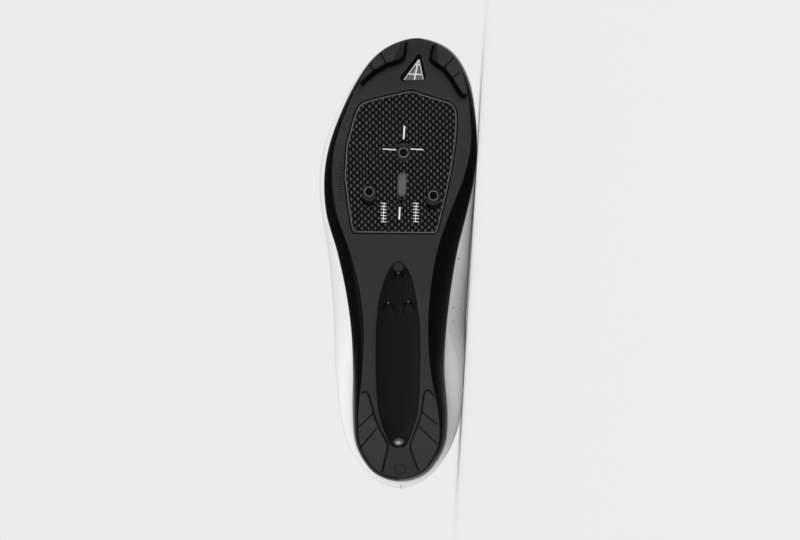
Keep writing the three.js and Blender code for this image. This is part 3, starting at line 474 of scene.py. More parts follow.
def make_piece(name, points, faces, materials, finish=None, uvs=None, smooth=38, merge=0.00002):
    """A mesh piece from points in the shoe's frame. finish gives each face's material number."""
    bpy.ops.object.select_all(action="DESELECT")
    mesh = bpy.data.meshes.new(name)
    mesh.from_pydata(place(points).tolist(), [], [tuple(int(i) for i in face) for face in faces])
    if uvs is not None:
        layer = mesh.uv_layers.new(name="form")
        corners = np.empty(len(mesh.loops), np.int32)
        mesh.loops.foreach_get("vertex_index", corners)
        layer.data.foreach_set("uv", np.asarray(uvs, np.float32)[corners].ravel())
    for material in materials:
        mesh.materials.append(material)
    if finish is not None:
        mesh.polygons.foreach_set("material_index", np.asarray(finish, np.int32))
    made = bpy.data.objects.new(name, mesh)
    bpy.context.collection.objects.link(made)
    work = bmesh.new()
    work.from_mesh(mesh)
    bmesh.ops.remove_doubles(work, verts=work.verts, dist=merge)
    bmesh.ops.dissolve_degenerate(work, edges=work.edges, dist=merge / 2)
    bmesh.ops.recalc_face_normals(work, faces=work.faces)
    work.to_mesh(mesh)
    work.free()
    made.select_set(True)
    bpy.context.view_layer.objects.active = made
    bpy.ops.object.shade_smooth_by_angle(angle=math.radians(smooth))
    made.select_set(False)
    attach(made, "root")
    return made


def sampled(outline, step=1.5):
    """Points along a closed outline at no more than a step apart, with the corners kept."""
    outline = np.asarray(outline, float)
    points = []
    for a, b in zip(outline, np.roll(outline, -1, 0)):
        count = max(1, math.ceil(np.linalg.norm(b - a) / step))
        points += [a + (b - a) * i / count for i in range(count)]
    return np.array(points)


def rounded(outline, radius=1.5, steps=4):
    """An outline with its corners rounded off."""
    outline = np.asarray(outline, float)
    points = []
    for before, corner, after in zip(np.roll(outline, 1, 0), outline, np.roll(outline, -1, 0)):
        reach = min(radius, np.linalg.norm(before - corner) * 0.45, np.linalg.norm(after - corner) * 0.45)
        a = corner + (before - corner) / np.linalg.norm(before - corner) * reach
        b = corner + (after - corner) / np.linalg.norm(after - corner) * reach
        for i in range(steps + 1):
            t = i / steps
            points.append((1 - t) ** 2 * a + 2 * t * (1 - t) * corner + t ** 2 * b)
    return np.array(points)


def moved_in(outline, distance):
    """A sampled outline moved inwards, or outwards if negative."""
    x, y = outline.T
    area = (x * np.roll(y, -1) - np.roll(x, -1) * y).sum()
    ahead = unit(np.roll(outline, -1, 0) - np.roll(outline, 1, 0))
    normal = np.stack([-ahead[:, 1], ahead[:, 0]], -1) * np.sign(area)
    return outline + normal * distance


def depth_inside(points, outline):
    """Distance to an outline, positive inside it."""
    a, b = outline[None], np.roll(outline, -1, 0)[None]
    p = points[:, None]
    t = np.clip(((p - a) * (b - a)).sum(-1) / np.maximum(((b - a) ** 2).sum(-1), 1e-12), 0, 1)
    away = np.sqrt((((a + t[..., None] * (b - a)) - p) ** 2).sum(-1)).min(1)
    straddles = (a[..., 1] > p[..., 1]) != (b[..., 1] > p[..., 1])
    height = np.where(b[..., 1] == a[..., 1], 1e-12, b[..., 1] - a[..., 1])
    crossing = a[..., 0] + (p[..., 1] - a[..., 1]) / height * (b[..., 0] - a[..., 0])
    inside = (straddles & (p[..., 0] < crossing)).sum(1) % 2 == 1
    return np.where(inside, away, -away)


def triangulate(loops, outline, holes, spacing, loose=None):
    """Triangles over a plan outline, with edges along every loop and an even grid between them."""
    low, high = outline.min(0), outline.max(0)
    rows = np.arange(low[1], high[1], spacing * 0.87)
    grid = np.array([
        (x + (i % 2) * spacing / 2, y)
        for i, y in enumerate(rows) for x in np.arange(low[0], high[0], spacing)
    ])
    edges = np.concatenate(loops)
    if loose is not None:
        loose = loose[depth_inside(loose, outline) > 0.12]
        clear = [np.sqrt(((edges - p) ** 2).sum(1)).min() > 0.16 for p in loose]
        edges = np.concatenate([edges, loose[clear]])
    keep = depth_inside(grid, outline) > spacing * 0.4
    grid = grid[keep]
    keep = np.ones(len(grid), bool)
    for i in range(0, len(grid), 500):
        block = grid[i:i + 500]
        near = np.sqrt(((block[:, None] - edges[None]) ** 2).sum(-1)).min(1)
        keep[i:i + 500] = near > spacing * 0.55
    grid = grid[keep]
    corners = [Vector(p) for p in np.concatenate([edges, grid])]
    lines = []
    start = 0
    for loop in loops:
        count = len(loop)
        lines += [(start + i, start + (i + 1) % count) for i in range(count)]
        start += count
    points, _, faces, _, _, _ = geometry.delaunay_2d_cdt(corners, lines, [], 0, 1e-6)
    points = np.array([tuple(p) for p in points])
    faces = np.array([tuple(face) for face in faces])
    centres = points[faces].mean(1)
    keep = depth_inside(centres, outline) > 0
    for hole in holes:
        keep &= depth_inside(centres, hole) < 0
    return points, faces[keep]


def plan(shares):
    return np.array(shares) * (LENGTH, BALL_WIDTH)


def slot_outline(centre, length, width, steps=12):
    points = []
    for end in (1, -1):
        middle_of_end = centre + forward * end * (length - width) / 2
        for i in range(steps + 1):
            angle = CLEAT_TURN + (i / steps - 0.5) * math.pi + (math.pi if end < 0 else 0)
            points.append(middle_of_end + np.array([math.cos(angle), math.sin(angle)]) * width / 2)
    return np.array(points)


WINDOW = rounded(plan([
    [0.8805, 0.073], [0.868, 0.18], [0.854, 0.32], [0.847, 0.356], [0.829, 0.376], [0.8, 0.377],
    [0.758, 0.367], [0.713, 0.346], [0.667, 0.32], [0.593, 0.267], [0.57, 0.252], [0.5625, 0.228],
    [0.5645, -0.308], [0.574, -0.324], [0.635, -0.351], [0.688, -0.37], [0.758, -0.356],
    [0.815, -0.312], [0.842, -0.282], [0.854, -0.25], [0.865, -0.13],
]), 3)
TOE_VENT = rounded(plan([
    [0.96, 0.112], [0.958, 0.13], [0.912, 0.165], [0.9, 0.158], [0.899, 0.005], [0.906, -0.005], [0.952,
                                                                                                  0.098],
]), 1.2)
PADS = {
    "toe_pad_lateral": plan([
        [1.02, 0.02], [0.985, 0.027], [0.956, 0.02], [0.948, -0.001], [0.9385, -0.096], [0.923, -0.175],
        [0.896, -0.264], [0.9, -0.34], [0.95, -0.34], [1.02, -0.2],
    ]),
    "toe_pad_medial": plan([
        [1.02, 0.236], [0.985, 0.228], [0.961, 0.207], [0.948, 0.204], [0.928, 0.294], [0.905, 0.346],
        [0.875, 0.399], [0.869, 0.412], [0.875, 0.56], [0.95, 0.56], [1.02, 0.4],
    ]),
    "heel_pad_lateral": plan([
        [0.218, -0.222], [0.216, -0.247], [0.206, -0.268], [0.166, -0.3], [0.02, -0.32], [0.01, -0.14],
        [0.039, -0.124], [0.087, -0.09], [0.103, -0.08], [0.14, -0.138], [0.166, -0.17], [0.21, -0.206],
    ]),
    "heel_pad_medial": plan([
        [0.2215, 0.19], [0.2195, 0.168], [0.2135, 0.16], [0.175, 0.146], [0.147, 0.12], [0.103, 0.069],
        [0.08, 0.088], [0.043, 0.132], [0.01, 0.15], [0.02, 0.32], [0.15, 0.3], [0.205, 0.225],
    ]),
}
EDGE_RIBS = np.linspace(0, LOOP, 385)[:-1]
SOLE_EDGE = underside_point(EDGE_RIBS, np.zeros(len(EDGE_RIBS)))[:, :2]


def clipped(outline, inset=0.0):
    """A pad's outline, drawn back to the sole's edge where it runs over it."""
    points = sampled(rounded(outline, 1.0), 0.7)
    border = moved_in(SOLE_EDGE, inset)
    over = depth_inside(points, border) < 0
    nearest = [border[np.argmin(((border - p) ** 2).sum(1))] for p in points]
    points = np.where(over[:, None], nearest, points)
    kept = []
    for p in points:
        if all(np.hypot(*(p - q)) > 0.2 for q in kept):
            kept.append(p)
    return np.array(kept)


PAD_OUTLINES = {name: clipped(outline) for name, outline in PADS.items()}
POCKETS = [slot_outline(cleat_plan(a, s), SLOT_LENGTH + 6, 2 * (NUT_FLANGE_RADIUS + GAP))
           for a, s, _ in CLEAT_SLOTS.values()]
VENT_CENTRE = cleat_plan(-0.22 * CLEAT_DEPTH, 0)
VENT_POCKET = slot_outline(VENT_CENTRE, VENT_SLOT[0] + 2 * GAP, VENT_SLOT[1] + 3)
LOCATOR_CENTRE = cleat_plan(-0.22 * CLEAT_DEPTH - VENT_SLOT[0] / 2 - LOCATOR_RADIUS - 3 * GAP, 0)
LOCATOR_POCKET = slot_outline(LOCATOR_CENTRE, 2 * LOCATOR_RADIUS + 0.81, 2 * LOCATOR_RADIUS + 0.8)
HEEL_PLUG = np.array([0.05 * LENGTH, 0.002 * BALL_WIDTH])
PLUG_RING = HEEL_PLUG + 3.4 * np.stack([np.cos(np.linspace(0, 2 * math.pi, 33)[:-1]),
                                        np.sin(np.linspace(0, 2 * math.pi, 33)[:-1])], -1)
RECESS = np.array([  # x along the sole, then the recess's lateral and medial edges
    [29.2, -1.0, -1.0], [29.5, -4.4, 3.2], [32.0, -6.7, 5.0], [37.2, -9.3, 7.2], [44.8, -12.1, 9.9],
    [52.4, -14.0, 11.8], [66.9, -15.5, 12.9], [89.0, -16.1, 13.4], [107.9, -15.8, 13.0],
    [120.5, -14.8, 11.3], [130.0, -13.0, 9.8], [139.5, -9.9, 7.6], [145.8, -6.7, 4.4], [149.3, -3.8, 1.3],
    [150.2, -1.3, -1.3],
])
FINS = [(142.6, -1.4, 9.0), (123.2, -8.0, 10.0), (123.9, 5.1, 10.0)]  # tip x and y, and length


def recess_outline(size=1.0):
    centre = RECESS[:, 1:].mean(1)
    half = (RECESS[:, 2] - RECESS[:, 1]) / 2 * size
    x = 89 + (RECESS[:, 0] - 89) * (0.65 + 0.35 * size)
    sides = [np.column_stack([x, centre - half]), np.column_stack([x, centre + half])[::-1][1:-1]]
    return sampled(rounded(np.concatenate(sides), 2.5), 1.2)


RECESS_OUTLINE = recess_outline()


def ellipse(x, y, half_x, half_y, steps=28):
    angle = np.linspace(0, 2 * math.pi, steps + 1)[:-1]
    return np.column_stack([x + half_x * np.cos(angle), y + half_y * np.sin(angle)])


DOME = ellipse(146.4, -1.3, 2.9, 3.2)
SPOT = ellipse(32.6, -0.9, 2.3, 3.4)
SPOT_MIDDLE = ellipse(32.2, -1.1, 1.2, 1.8, 20)
TIPS = [ellipse(x - 0.2, y, 0.75, 0.75, 12) for x, y, _ in FINS]


def fin_ridges(points):
    """Height of the three small fins: a blunt tip and two legs that trail off towards the heel."""
    height = np.zeros(len(points))
    for x, y, long in FINS:
        behind = x - points[:, 0]
        aside = np.abs(points[:, 1] - y)
        leg = np.abs(aside - 1.9 * np.clip(behind, 0, 20) ** 0.42) * 0.95
        fade = np.clip(1 - behind / long, 0, 1) * (behind > -0.4)
        height = np.maximum(height, 1.1 * fade * np.clip(1 - leg / 0.7, 0, 1))
        height = np.maximum(height, 1.5 * np.clip(1 - np.hypot(behind - 0.3, aside) / 1.4, 0, 1) ** 0.6)
    return height


def recess_depth(points):
    """How deep the arch recess is: crisp sides, then a soft trough, with a scoop at each end."""
    x = points[:, 0]
    low = np.interp(x, RECESS[:, 0], RECESS[:, 1])
    high = np.interp(x, RECESS[:, 0], RECESS[:, 2])
    half = np.maximum((high - low) / 2, 0.01)
    share = np.abs(points[:, 1] - (low + high) / 2) / half
    depth = np.interp(share, (0.0, 0.45, 0.82, 1.0), (1.0, 0.97, 0.7, 0.35))
    depth = depth * np.clip(half / 8, 0.3, 1)
    scoop = np.clip((150.2 - x) / 6.5, 0, 1)
    depth = np.where((x > 143.5) & (np.abs(points[:, 1] + 1.3) < 4.8), 0.12 + 0.5 * scoop ** 2, depth)
    heel_scoop = np.clip((x - 29.2) / 5.5, 0, 1)
    depth = depth * (0.25 + 0.75 * heel_scoop ** 0.7)
    return ARCH_RECESS_DEPTH * depth - fin_ridges(points) * (x > 100)


def mouth(inside, deep, edge=0.35, radius=0.5):
    """A cut with upright walls and a rounded edge at its mouth."""
    rounding = np.clip(1 + inside / radius, 0, 1)
    return np.where(inside > 0.015, deep, edge * (1 - np.sqrt(np.maximum(1 - rounding ** 2, 0))))


def outsole_relief(points):
    """How far each point of the underside is sunk into the sole."""
    sunk = np.zeros(len(points))
    in_window = depth_inside(points, WINDOW)
    sunk = np.maximum(sunk, mouth(in_window, BACK_OF_PLATE + GAP))
    for pocket in POCKETS:
        sunk = np.where(depth_inside(points, pocket) > 0.015, POCKET, sunk)
    sunk = np.where(depth_inside(points, VENT_POCKET) > 0.015, np.maximum(sunk, SCREEN_SEAT), sunk)
    sunk = np.where(depth_inside(points, LOCATOR_POCKET) > 0.015, POCKET, sunk)
    sunk = np.maximum(sunk, mouth(depth_inside(points, TOE_VENT), 5.2, 0.5, 0.8))
    in_recess = depth_inside(points, RECESS_OUTLINE)
    sunk = np.maximum(sunk, mouth(in_recess, np.where(in_recess > 0.015, recess_depth(points), 0), 0.3, 0.4))
    in_plug = depth_inside(points, PLUG_RING)
    sunk = np.maximum(sunk, 0.3 * np.clip(1 - np.abs(in_plug) / 0.35, 0, 1))
    for name in ("toe_pad_lateral", "toe_pad_medial"):
        beside = -depth_inside(points, PAD_OUTLINES[name])
        inner = depth_inside(points, SOLE_EDGE)
        reach = np.interp(points[:, 0], (280.0, 285.0), (4.2, 1.4))
        trough = 2.3 * np.clip(1 - (beside - 0.5) / reach, 0, 1) ** 1.2 * np.clip((inner - 0.3) / 1.5, 0, 1)
        sunk = np.maximum(sunk, np.where(beside > 0.05, trough, 0))
    for name in ("heel_pad_lateral", "heel_pad_medial"):
        beside = -depth_inside(points, PAD_OUTLINES[name])
        inner = depth_inside(points, SOLE_EDGE)
        trough = 0.7 * np.clip(1 - (beside - 0.3) / 0.7, 0, 1) * np.clip((inner - 0.3) / 1.5, 0, 1)
        sunk = np.maximum(sunk, np.where(beside > 0.05, trough, 0))
    return sunk


def loops_around(outline, offsets):
    return [outline if offset == 0 else moved_in(outline, offset) for offset in offsets]


sole_loops = [SOLE_EDGE]
sole_loops += loops_around(sampled(WINDOW), (-0.5, -0.25, 0, 0.04))
for pocket in POCKETS + [VENT_POCKET, LOCATOR_POCKET]:
    sole_loops += loops_around(pocket, (0, 0.04))
sole_loops += loops_around(sampled(TOE_VENT, 1.0), (-0.8, -0.4, 0, 0.04))
sole_loops += loops_around(RECESS_OUTLINE, (-0.4, -0.15, 0, 0.04))
sole_loops += [recess_outline(0.8), recess_outline(0.5), DOME, SPOT, SPOT_MIDDLE, *TIPS]
sole_loops += loops_around(PLUG_RING, (-0.35, 0, 0.35))
for name, outline in PAD_OUTLINES.items():
    steps = (0, -0.4, -1.0, -1.9, -3.0) if name.startswith("toe") else (0, -0.3, -1.0)
    for loop in loops_around(outline, steps):
        nearest = [SOLE_EDGE[np.argmin(((SOLE_EDGE - p) ** 2).sum(1))] for p in loop]
        over = depth_inside(loop, SOLE_EDGE) < 0.3
        loop = np.where(over[:, None], nearest, loop)
        apart = np.linalg.norm(loop - np.roll(loop, 1, 0), axis=1) > 0.15
        sole_loops.append(loop[apart])
fin_points = np.array([(x - back, y + side * (1.9 * max(back, 0) ** 0.42 + off)) for x, y, long in FINS
                       for back in np.arange(-0.6, long, 0.55) for side in (-1, 1)
                       for off in (-0.8, -0.4, 0.05, 0.4, 0.8)])
flat, under_faces = triangulate(sole_loops, SOLE_EDGE, [], 2.2, fin_points)
sunk = outsole_relief(flat)
under_points = np.column_stack([flat, sole_height(flat) + sunk])

walls = [side_wall_point(EDGE_RIBS, share) for share in np.linspace(1, 0, 13)]
walls[0] = underside_point(EDGE_RIBS, np.zeros(len(EDGE_RIBS)))
rim_rows = [edge_point(EDGE_RIBS) + inward(EDGE_RIBS) * inset for inset in (1.5, SOLE_RIM)]
seat_rows = [seat_point(EDGE_RIBS, SOLE_RIM, share) for share in (0.04, 0.08, 0.13, 0.18, 0.25, 0.32, 0.45,
                                                                  0.6, 0.8, 1)]
shell_rows = np.array(walls + rim_rows + seat_rows)


def between_rows(count, width, start=0, wrap=True):
    """Quads between rows of points that are laid one after another."""
    i, j = np.meshgrid(np.arange(count - 1), np.arange(width if wrap else width - 1), indexing="ij")
    a = i * width + j
    b = i * width + (j + 1) % width
    return np.stack([a, b, b + width, a + width], -1).reshape(-1, 4) + start


shell_faces = between_rows(len(shell_rows), len(EDGE_RIBS), len(under_points))
sole_points = np.concatenate([under_points, shell_rows.reshape(-1, 3)])
centre_of_face = flat[under_faces].mean(1)
face_sunk = sunk[under_faces].min(1)
# Painted shade: faces in the arch recess and faces sunk deeper than 0.55 mm (window gap, pockets, toe vent,
# troughs beside the toe pads) take the near-black finish; the dome at the recess's toe end keeps the plain satin.
in_recess = depth_inside(centre_of_face, RECESS_OUTLINE) > 0
painted_shade_face = in_recess | (face_sunk > 0.55)
# Painted highlights: the fin tips and the ring round the spot take the lighter tip finish, and the spot's middle
# the bright one.
tips = np.max([depth_inside(centre_of_face, outline) for outline in TIPS], axis=0) > 0
dome = depth_inside(centre_of_face, DOME) > 0
around_spot = depth_inside(centre_of_face, SPOT) > 0
highlight_middle = depth_inside(centre_of_face, SPOT_MIDDLE) > 0
under_finish = np.select([highlight_middle, tips | around_spot, dome, painted_shade_face], [3, 4, 0, 2], 0)
sole_finish = np.concatenate([under_finish, np.ones(len(shell_faces), int)])
outsole = make_piece("sole_tray", sole_points, [*under_faces.tolist(), *shell_faces.tolist()],
                     [satin, gloss, shade, spot_highlight, tip], sole_finish)
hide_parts("outsole")


# Carbon plate: woven carbon fibre pressed under clear resin, set into the window inside a thin raised
# lip, and cut for the three cleat nuts, the vent and the locator.
LIP_WIDTH = 0.85
LIP_RISE = 0.35
PLATE_GAP = 0.75  # the dark line around the plate
weave = bpy.data.node_groups.new("plain_weave", "ShaderNodeTree")
weave.interface.new_socket("Vector", in_out="INPUT", socket_type="NodeSocketVector")
weave.interface.new_socket("Warp", in_out="OUTPUT", socket_type="NodeSocketFloat")
weave.interface.new_socket("Height", in_out="OUTPUT", socket_type="NodeSocketFloat")


def group_math(group, operation, first, second=None):
    node = group.nodes.new("ShaderNodeMath")
    node.operation = operation
    for value, socket in ((first, node.inputs[0]), (second, node.inputs[1])):
        if isinstance(value, bpy.types.NodeSocket):
            group.links.new(value, socket)
        elif value is not None:
            socket.default_value = value
    return node.outputs[0]


weave_in = weave.nodes.new("NodeGroupInput")
weave_out = weave.nodes.new("NodeGroupOutput")
weave_axes = weave.nodes.new("ShaderNodeSeparateXYZ")
weave.links.new(weave_in.outputs["Vector"], weave_axes.inputs[0])
weave_x, weave_y = weave_axes.outputs["X"], weave_axes.outputs["Y"]
wave = [group_math(weave, "SINE", group_math(weave, "MULTIPLY", axis, math.pi)) for axis in (weave_x,
                                                                                             weave_y)]
both = group_math(weave, "MULTIPLY", wave[0], wave[1])
weave_mask = group_math(weave, "GREATER_THAN", both, 0.0)
weave_bulge = group_math(weave, "ABSOLUTE", both)
weave.links.new(weave_mask, weave_out.inputs["Warp"])
weave.links.new(weave_bulge, weave_out.inputs["Height"])

# Tows: light ovals along the shoe, in columns that are set off against each other. Their lightness is painted
# sheen, standing in for the light the tows reflect.
tows = bpy.data.node_groups.new("carbon_tows", "ShaderNodeTree")
tows.interface.new_socket("Vector", in_out="INPUT", socket_type="NodeSocketVector")
tows.interface.new_socket("Light", in_out="OUTPUT", socket_type="NodeSocketFloat")
tows_in = tows.nodes.new("NodeGroupInput")
tows_out = tows.nodes.new("NodeGroupOutput")
tows_axes = tows.nodes.new("ShaderNodeSeparateXYZ")
tows.links.new(tows_in.outputs["Vector"], tows_axes.inputs[0])
tow_column = group_math(tows, "ROUND", tows_axes.outputs["Y"])
tow_aside = group_math(tows, "SUBTRACT", tows_axes.outputs["Y"], tow_column)
tow_phase = group_math(tows, "MULTIPLY", group_math(tows, "SUBTRACT", tows_axes.outputs["X"], tow_column),
                       math.pi)
tow_along = group_math(tows, "MULTIPLY_ADD", group_math(tows, "COSINE", tow_phase), 0.5)
tow_along.node.inputs[2].default_value = 0.5
tow_narrow = group_math(tows, "MULTIPLY", group_math(tows, "MULTIPLY", tow_aside, tow_aside), -4.0)
tow_oval = group_math(tows, "ADD", tow_along, tow_narrow)
tows.links.new(tow_oval, tows_out.inputs["Light"])

carbon = new_material("carbon_weave", 0.01, 0.4, specular=0.05, coat=0.03)
carbon_map = add_node(carbon, "ShaderNodeUVMap", uv_map="form")
carbon_scale = add_node(carbon, "ShaderNodeMapping", inputs={
    "Vector": carbon_map.outputs[0], "Scale": (100 / 2.15, 100 / 2.18, 1), "Rotation": (0, 0, CLEAT_TURN * 0.3)})
carbon_tows = add_node(carbon, "ShaderNodeGroup", node_tree=tows, inputs=None)
carbon.node_tree.links.new(carbon_scale.outputs[0], carbon_tows.inputs["Vector"])
# Painted sheen over the weave's own pattern: the light ovals and the dark between them stand in for how the tows
# under the resin reflect the light.
carbon_oval = add_node(carbon, "ShaderNodeMapRange", inputs={
    "Value": carbon_tows.outputs["Light"], "From Min": 0.28, "From Max": 0.72})
carbon_cloud = add_node(carbon, "ShaderNodeTexNoise", inputs={
    "Vector": carbon_map.outputs[0], "Scale": 42.0, "Detail": 2.0})
carbon_level = add_node(carbon, "ShaderNodeMapRange", inputs={
    "Value": carbon_cloud.outputs["Fac"], "From Min": 0.3, "From Max": 0.7, "To Min": 0.4, "To Max": 1.0})
carbon_sheen = add_node(carbon, "ShaderNodeMath", operation="MULTIPLY", inputs={
    0: carbon_oval.outputs[0], 1: carbon_level.outputs[0]})
carbon_tone = add_node(carbon, "ShaderNodeMix", data_type="RGBA", inputs={0: carbon_sheen.outputs[0]})
carbon_tone.inputs[6].default_value = (0.002, 0.002, 0.002, 1)
carbon_tone.inputs[7].default_value = (0.085, 0.085, 0.087, 1)
carbon_bump = add_node(carbon, "ShaderNodeBump", inputs={
    "Strength": 0.4, "Distance": 0.00015, "Height": carbon_oval.outputs[0]})
to_shader(carbon, Base_Color=carbon_tone.outputs[2], Normal=carbon_bump.outputs[0])
lip_finish = grained(new_material("plate_lip", 0.075, 0.4), 0.075, 0.4, 1500.0, 60.0, 0.1)


def make_relief(name, outline, holes, loops, front, back, spacing, materials, finish_of=None, smooth=38,
                loose=None):
    """A closed plate that follows the sole: a front with relief, and a plain back at an even depth."""
    flat, faces = triangulate(loops, outline, holes, spacing, loose)
    level = sole_height(flat)
    front_points = np.column_stack([flat, level + front(flat)])
    back_points = np.column_stack([flat, level + back])
    count = len(flat)
    edges = np.sort(np.concatenate([faces[:, [0, 1]], faces[:, [1, 2]], faces[:, [2, 0]]]), axis=1)
    border, times = np.unique(edges, axis=0, return_counts=True)
    border = border[times == 1]
    sides = np.column_stack([border[:, 0], border[:, 1], border[:, 1] + count, border[:, 0] + count])
    all_faces = [*faces.tolist(), *(faces[:, ::-1] + count).tolist(), *sides.tolist()]
    finish = np.zeros(len(all_faces), int)
    if finish_of is not None:
        finish[:len(faces)] = finish_of(flat[faces].mean(1))
    uvs = np.concatenate([flat, flat]) / 100
    return make_piece(name, np.concatenate([front_points, back_points]), all_faces, materials,
                      finish, uvs, smooth)


def softened(inside, radius, drop):
    """How far a piece's face falls back at its rounded edge."""
    t = np.clip(1 - inside / radius, 0, 1)
    return drop * (1 - np.sqrt(1 - t ** 2))


PLATE = moved_in(sampled(WINDOW), PLATE_GAP)
PLATE_SLOTS = [slot_outline(cleat_plan(a, s), SLOT_LENGTH, 2 * (NUT_RADIUS + GAP), 16)
               for a, s, _ in CLEAT_SLOTS.values()]
PLATE_VENT = slot_outline(VENT_CENTRE, *VENT_SLOT)
LOCATOR_HOLE = slot_outline(LOCATOR_CENTRE, 2 * (LOCATOR_RADIUS + GAP) + 0.01, 2 * (LOCATOR_RADIUS + GAP))
plate_holes = [*PLATE_SLOTS, PLATE_VENT, LOCATOR_HOLE]


def plate_front(points):
    inside = depth_inside(points, PLATE)
    lip = LIP_RISE * np.clip((LIP_WIDTH + 0.15 - inside) / 0.15, 0, 1)
    level = PLATE_RECESS - lip + softened(inside, 0.3, 0.3)
    for hole in plate_holes:
        level = level + softened(-depth_inside(points, hole), 0.35, 0.25)
    return level


plate_loops = [PLATE] + loops_around(PLATE, (0.15, 0.3, LIP_WIDTH, LIP_WIDTH + 0.15))
for hole in plate_holes:
    plate_loops += loops_around(hole, (0, -0.15, -0.35))
plate = make_relief("carbon_plate_woven", PLATE, plate_holes, plate_loops, plate_front, BACK_OF_PLATE, 2.2,
                    [carbon, lip_finish], lambda p: (depth_inside(p, PLATE) < LIP_WIDTH + 0.05).astype(int))
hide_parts("carbon_plate")


# Cleat marks: plain white lines and tick scales, printed on the plate for setting the cleat, and a scale of short
# ticks engraved in the sole's lateral edge, drawn as thin strips of near-black painted shade.
def strips(name, lines, level, thickness, material, step=1.5):
    """Thin flat strips that follow the sole. A line has its two ends and its width."""
    points, faces = [], []
    for x0, y0, x1, y1, wide in lines:
        a, b = np.array([x0, y0]), np.array([x1, y1])
        long = np.linalg.norm(b - a)
        ahead = (b - a) / long
        aside = np.array([-ahead[1], ahead[0]])
        count = max(2, round(long / step) + 1)
        widths = max(2, round(wide / step) + 1)
        grid = np.array([a + ahead * i + aside * j for i in np.linspace(0, long, count)
                         for j in np.linspace(-wide / 2, wide / 2, widths)])
        height = sole_height(grid) + level
        start = len(points)
        total = len(grid)
        for raised in (0.0, thickness):
            points += np.column_stack([grid, height + raised]).tolist()
        face = between_rows(count, widths, start, wrap=False)
        faces += face.tolist() + (face[:, ::-1] + total).tolist()
        ring = [*range(widths), *[widths * r + widths - 1 for r in range(1, count)],
                *range(total - 2, total - widths - 1, -1), *[widths * r for r in range(count - 2, 0, -1)]]
        faces += [[start + p, start + q, start + total + q, start + total + p]
                  for p, q in zip(ring, ring[1:] + ring[:1])]
    made = make_piece(name, np.array(points), faces, [material], merge=0.000001)
    return made


def along_shoe(x, y, long, wide):
    a, b = np.array([x, y]) - forward * long / 2, np.array([x, y]) + forward * long / 2
    return (*a, *b, wide)


def across_shoe(x, y, long, wide):
    a, b = np.array([x, y]) - across * long / 2, np.array([x, y]) + across * long / 2
    return (*a, *b, wide)


MARKS = [
    along_shoe(234.0, 2.6, 8.6, 1.1), along_shoe(181.5, -0.5, 8.0, 1.1),
    across_shoe(223.0, -6.9, 8.6, 0.7), across_shoe(223.0, 11.0, 8.3, 0.7),
    along_shoe(182.0, -10.9, 12.6, 0.45), along_shoe(182.0, 10.2, 12.6, 0.45),
]
MARKS += [across_shoe(176.0 + 2.0 * i, y, 3.8, 0.45) for y in (-10.9, 10.2) for i in range(7)]
print_white = grained(new_material("print_white", 0.75, 0.5), 0.75, 0.5, 2500.0, 300.0, 0.08, 0.00001)
strips("cleat_marks", MARKS, PLATE_RECESS - 0.04, 0.06, print_white)
TICKS = [(190.0 + 1.75 * i, -37.6, 190.0 + 1.75 * i, -41.4 if i % 5 == 0 else -40.1, 0.45) for i in range(15)]
# Painted shade stands in for the engraving's grooves.
strips("size_ticks", TICKS, -0.03, 0.06, shade)


# Cleat nuts: turned steel barrels, blackened, with a thread inside and a flange behind the plate.
NUT_BORE = 2.5
nut_steel = grained(new_material("black_steel", 0.012, 0.4, metallic=0.4), 0.012, 0.4, 2200.0, 200.0, 0.15)
light_ring_steel = grained(new_material("light_ring_steel", 0.15, 0.32, metallic=0.8), 0.15, 0.32, 2200.0, 300.0, 0.25)


def turned(profile, centre, tilt, steps=56):
    """Rows of points of a profile of radius and depth, turned about the nut's own axis."""
    angle = np.linspace(0, 2 * math.pi, steps + 1)[:-1]
    c, s = math.cos(tilt), math.sin(tilt)
    rows = []
    for radius, depth in profile:
        local = np.stack([radius * np.cos(angle), radius * np.sin(angle), np.full(steps, depth)], -1)
        rows.append(np.stack([local[:, 0] * c - local[:, 2] * s, local[:, 1],
                              local[:, 0] * s + local[:, 2] * c], -1) + centre)
    return np.array(rows)


for slot in CLEAT_SLOTS:
    centre, tilt = nut_frame(slot)
    front = PLATE_RECESS + GAP
    profile = [(NUT_BORE, front + 0.4), (NUT_BORE + 0.1, front), (NUT_BORE + 0.75, front),
               (NUT_BORE + 0.95, front + 0.3), (NUT_RADIUS - 0.15, front + 0.4), (NUT_RADIUS, front + 0.6),
               (NUT_RADIUS, NUT_SEAT), (NUT_FLANGE_RADIUS, NUT_SEAT),
               (NUT_FLANGE_RADIUS, NUT_SEAT + NUT_FLANGE), (NUT_BORE, NUT_SEAT + NUT_FLANGE)]
    turns = 4
    for i in range(turns * 2):
        depth = NUT_SEAT + NUT_FLANGE - 0.3 - i * 0.28
        profile.append((NUT_BORE - (0.16 if i % 2 else 0.0), depth))
    rows = turned(profile, centre, tilt)
    faces = np.concatenate([between_rows(len(rows), 56),
                            [[(len(rows) - 1) * 56 + i, (len(rows) - 1) * 56 + (i + 1) % 56,
                              (i + 1) % 56, i] for i in range(56)]])
    # A lighter steel on the flat ring of the front face round the bore.
    ring_finish = np.zeros(len(faces), int)
    ring_finish[56:112] = 1
    nut = make_piece(slot + "_turned", rows.reshape(-1, 3), faces, [nut_steel, light_ring_steel], ring_finish)
    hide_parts(slot)

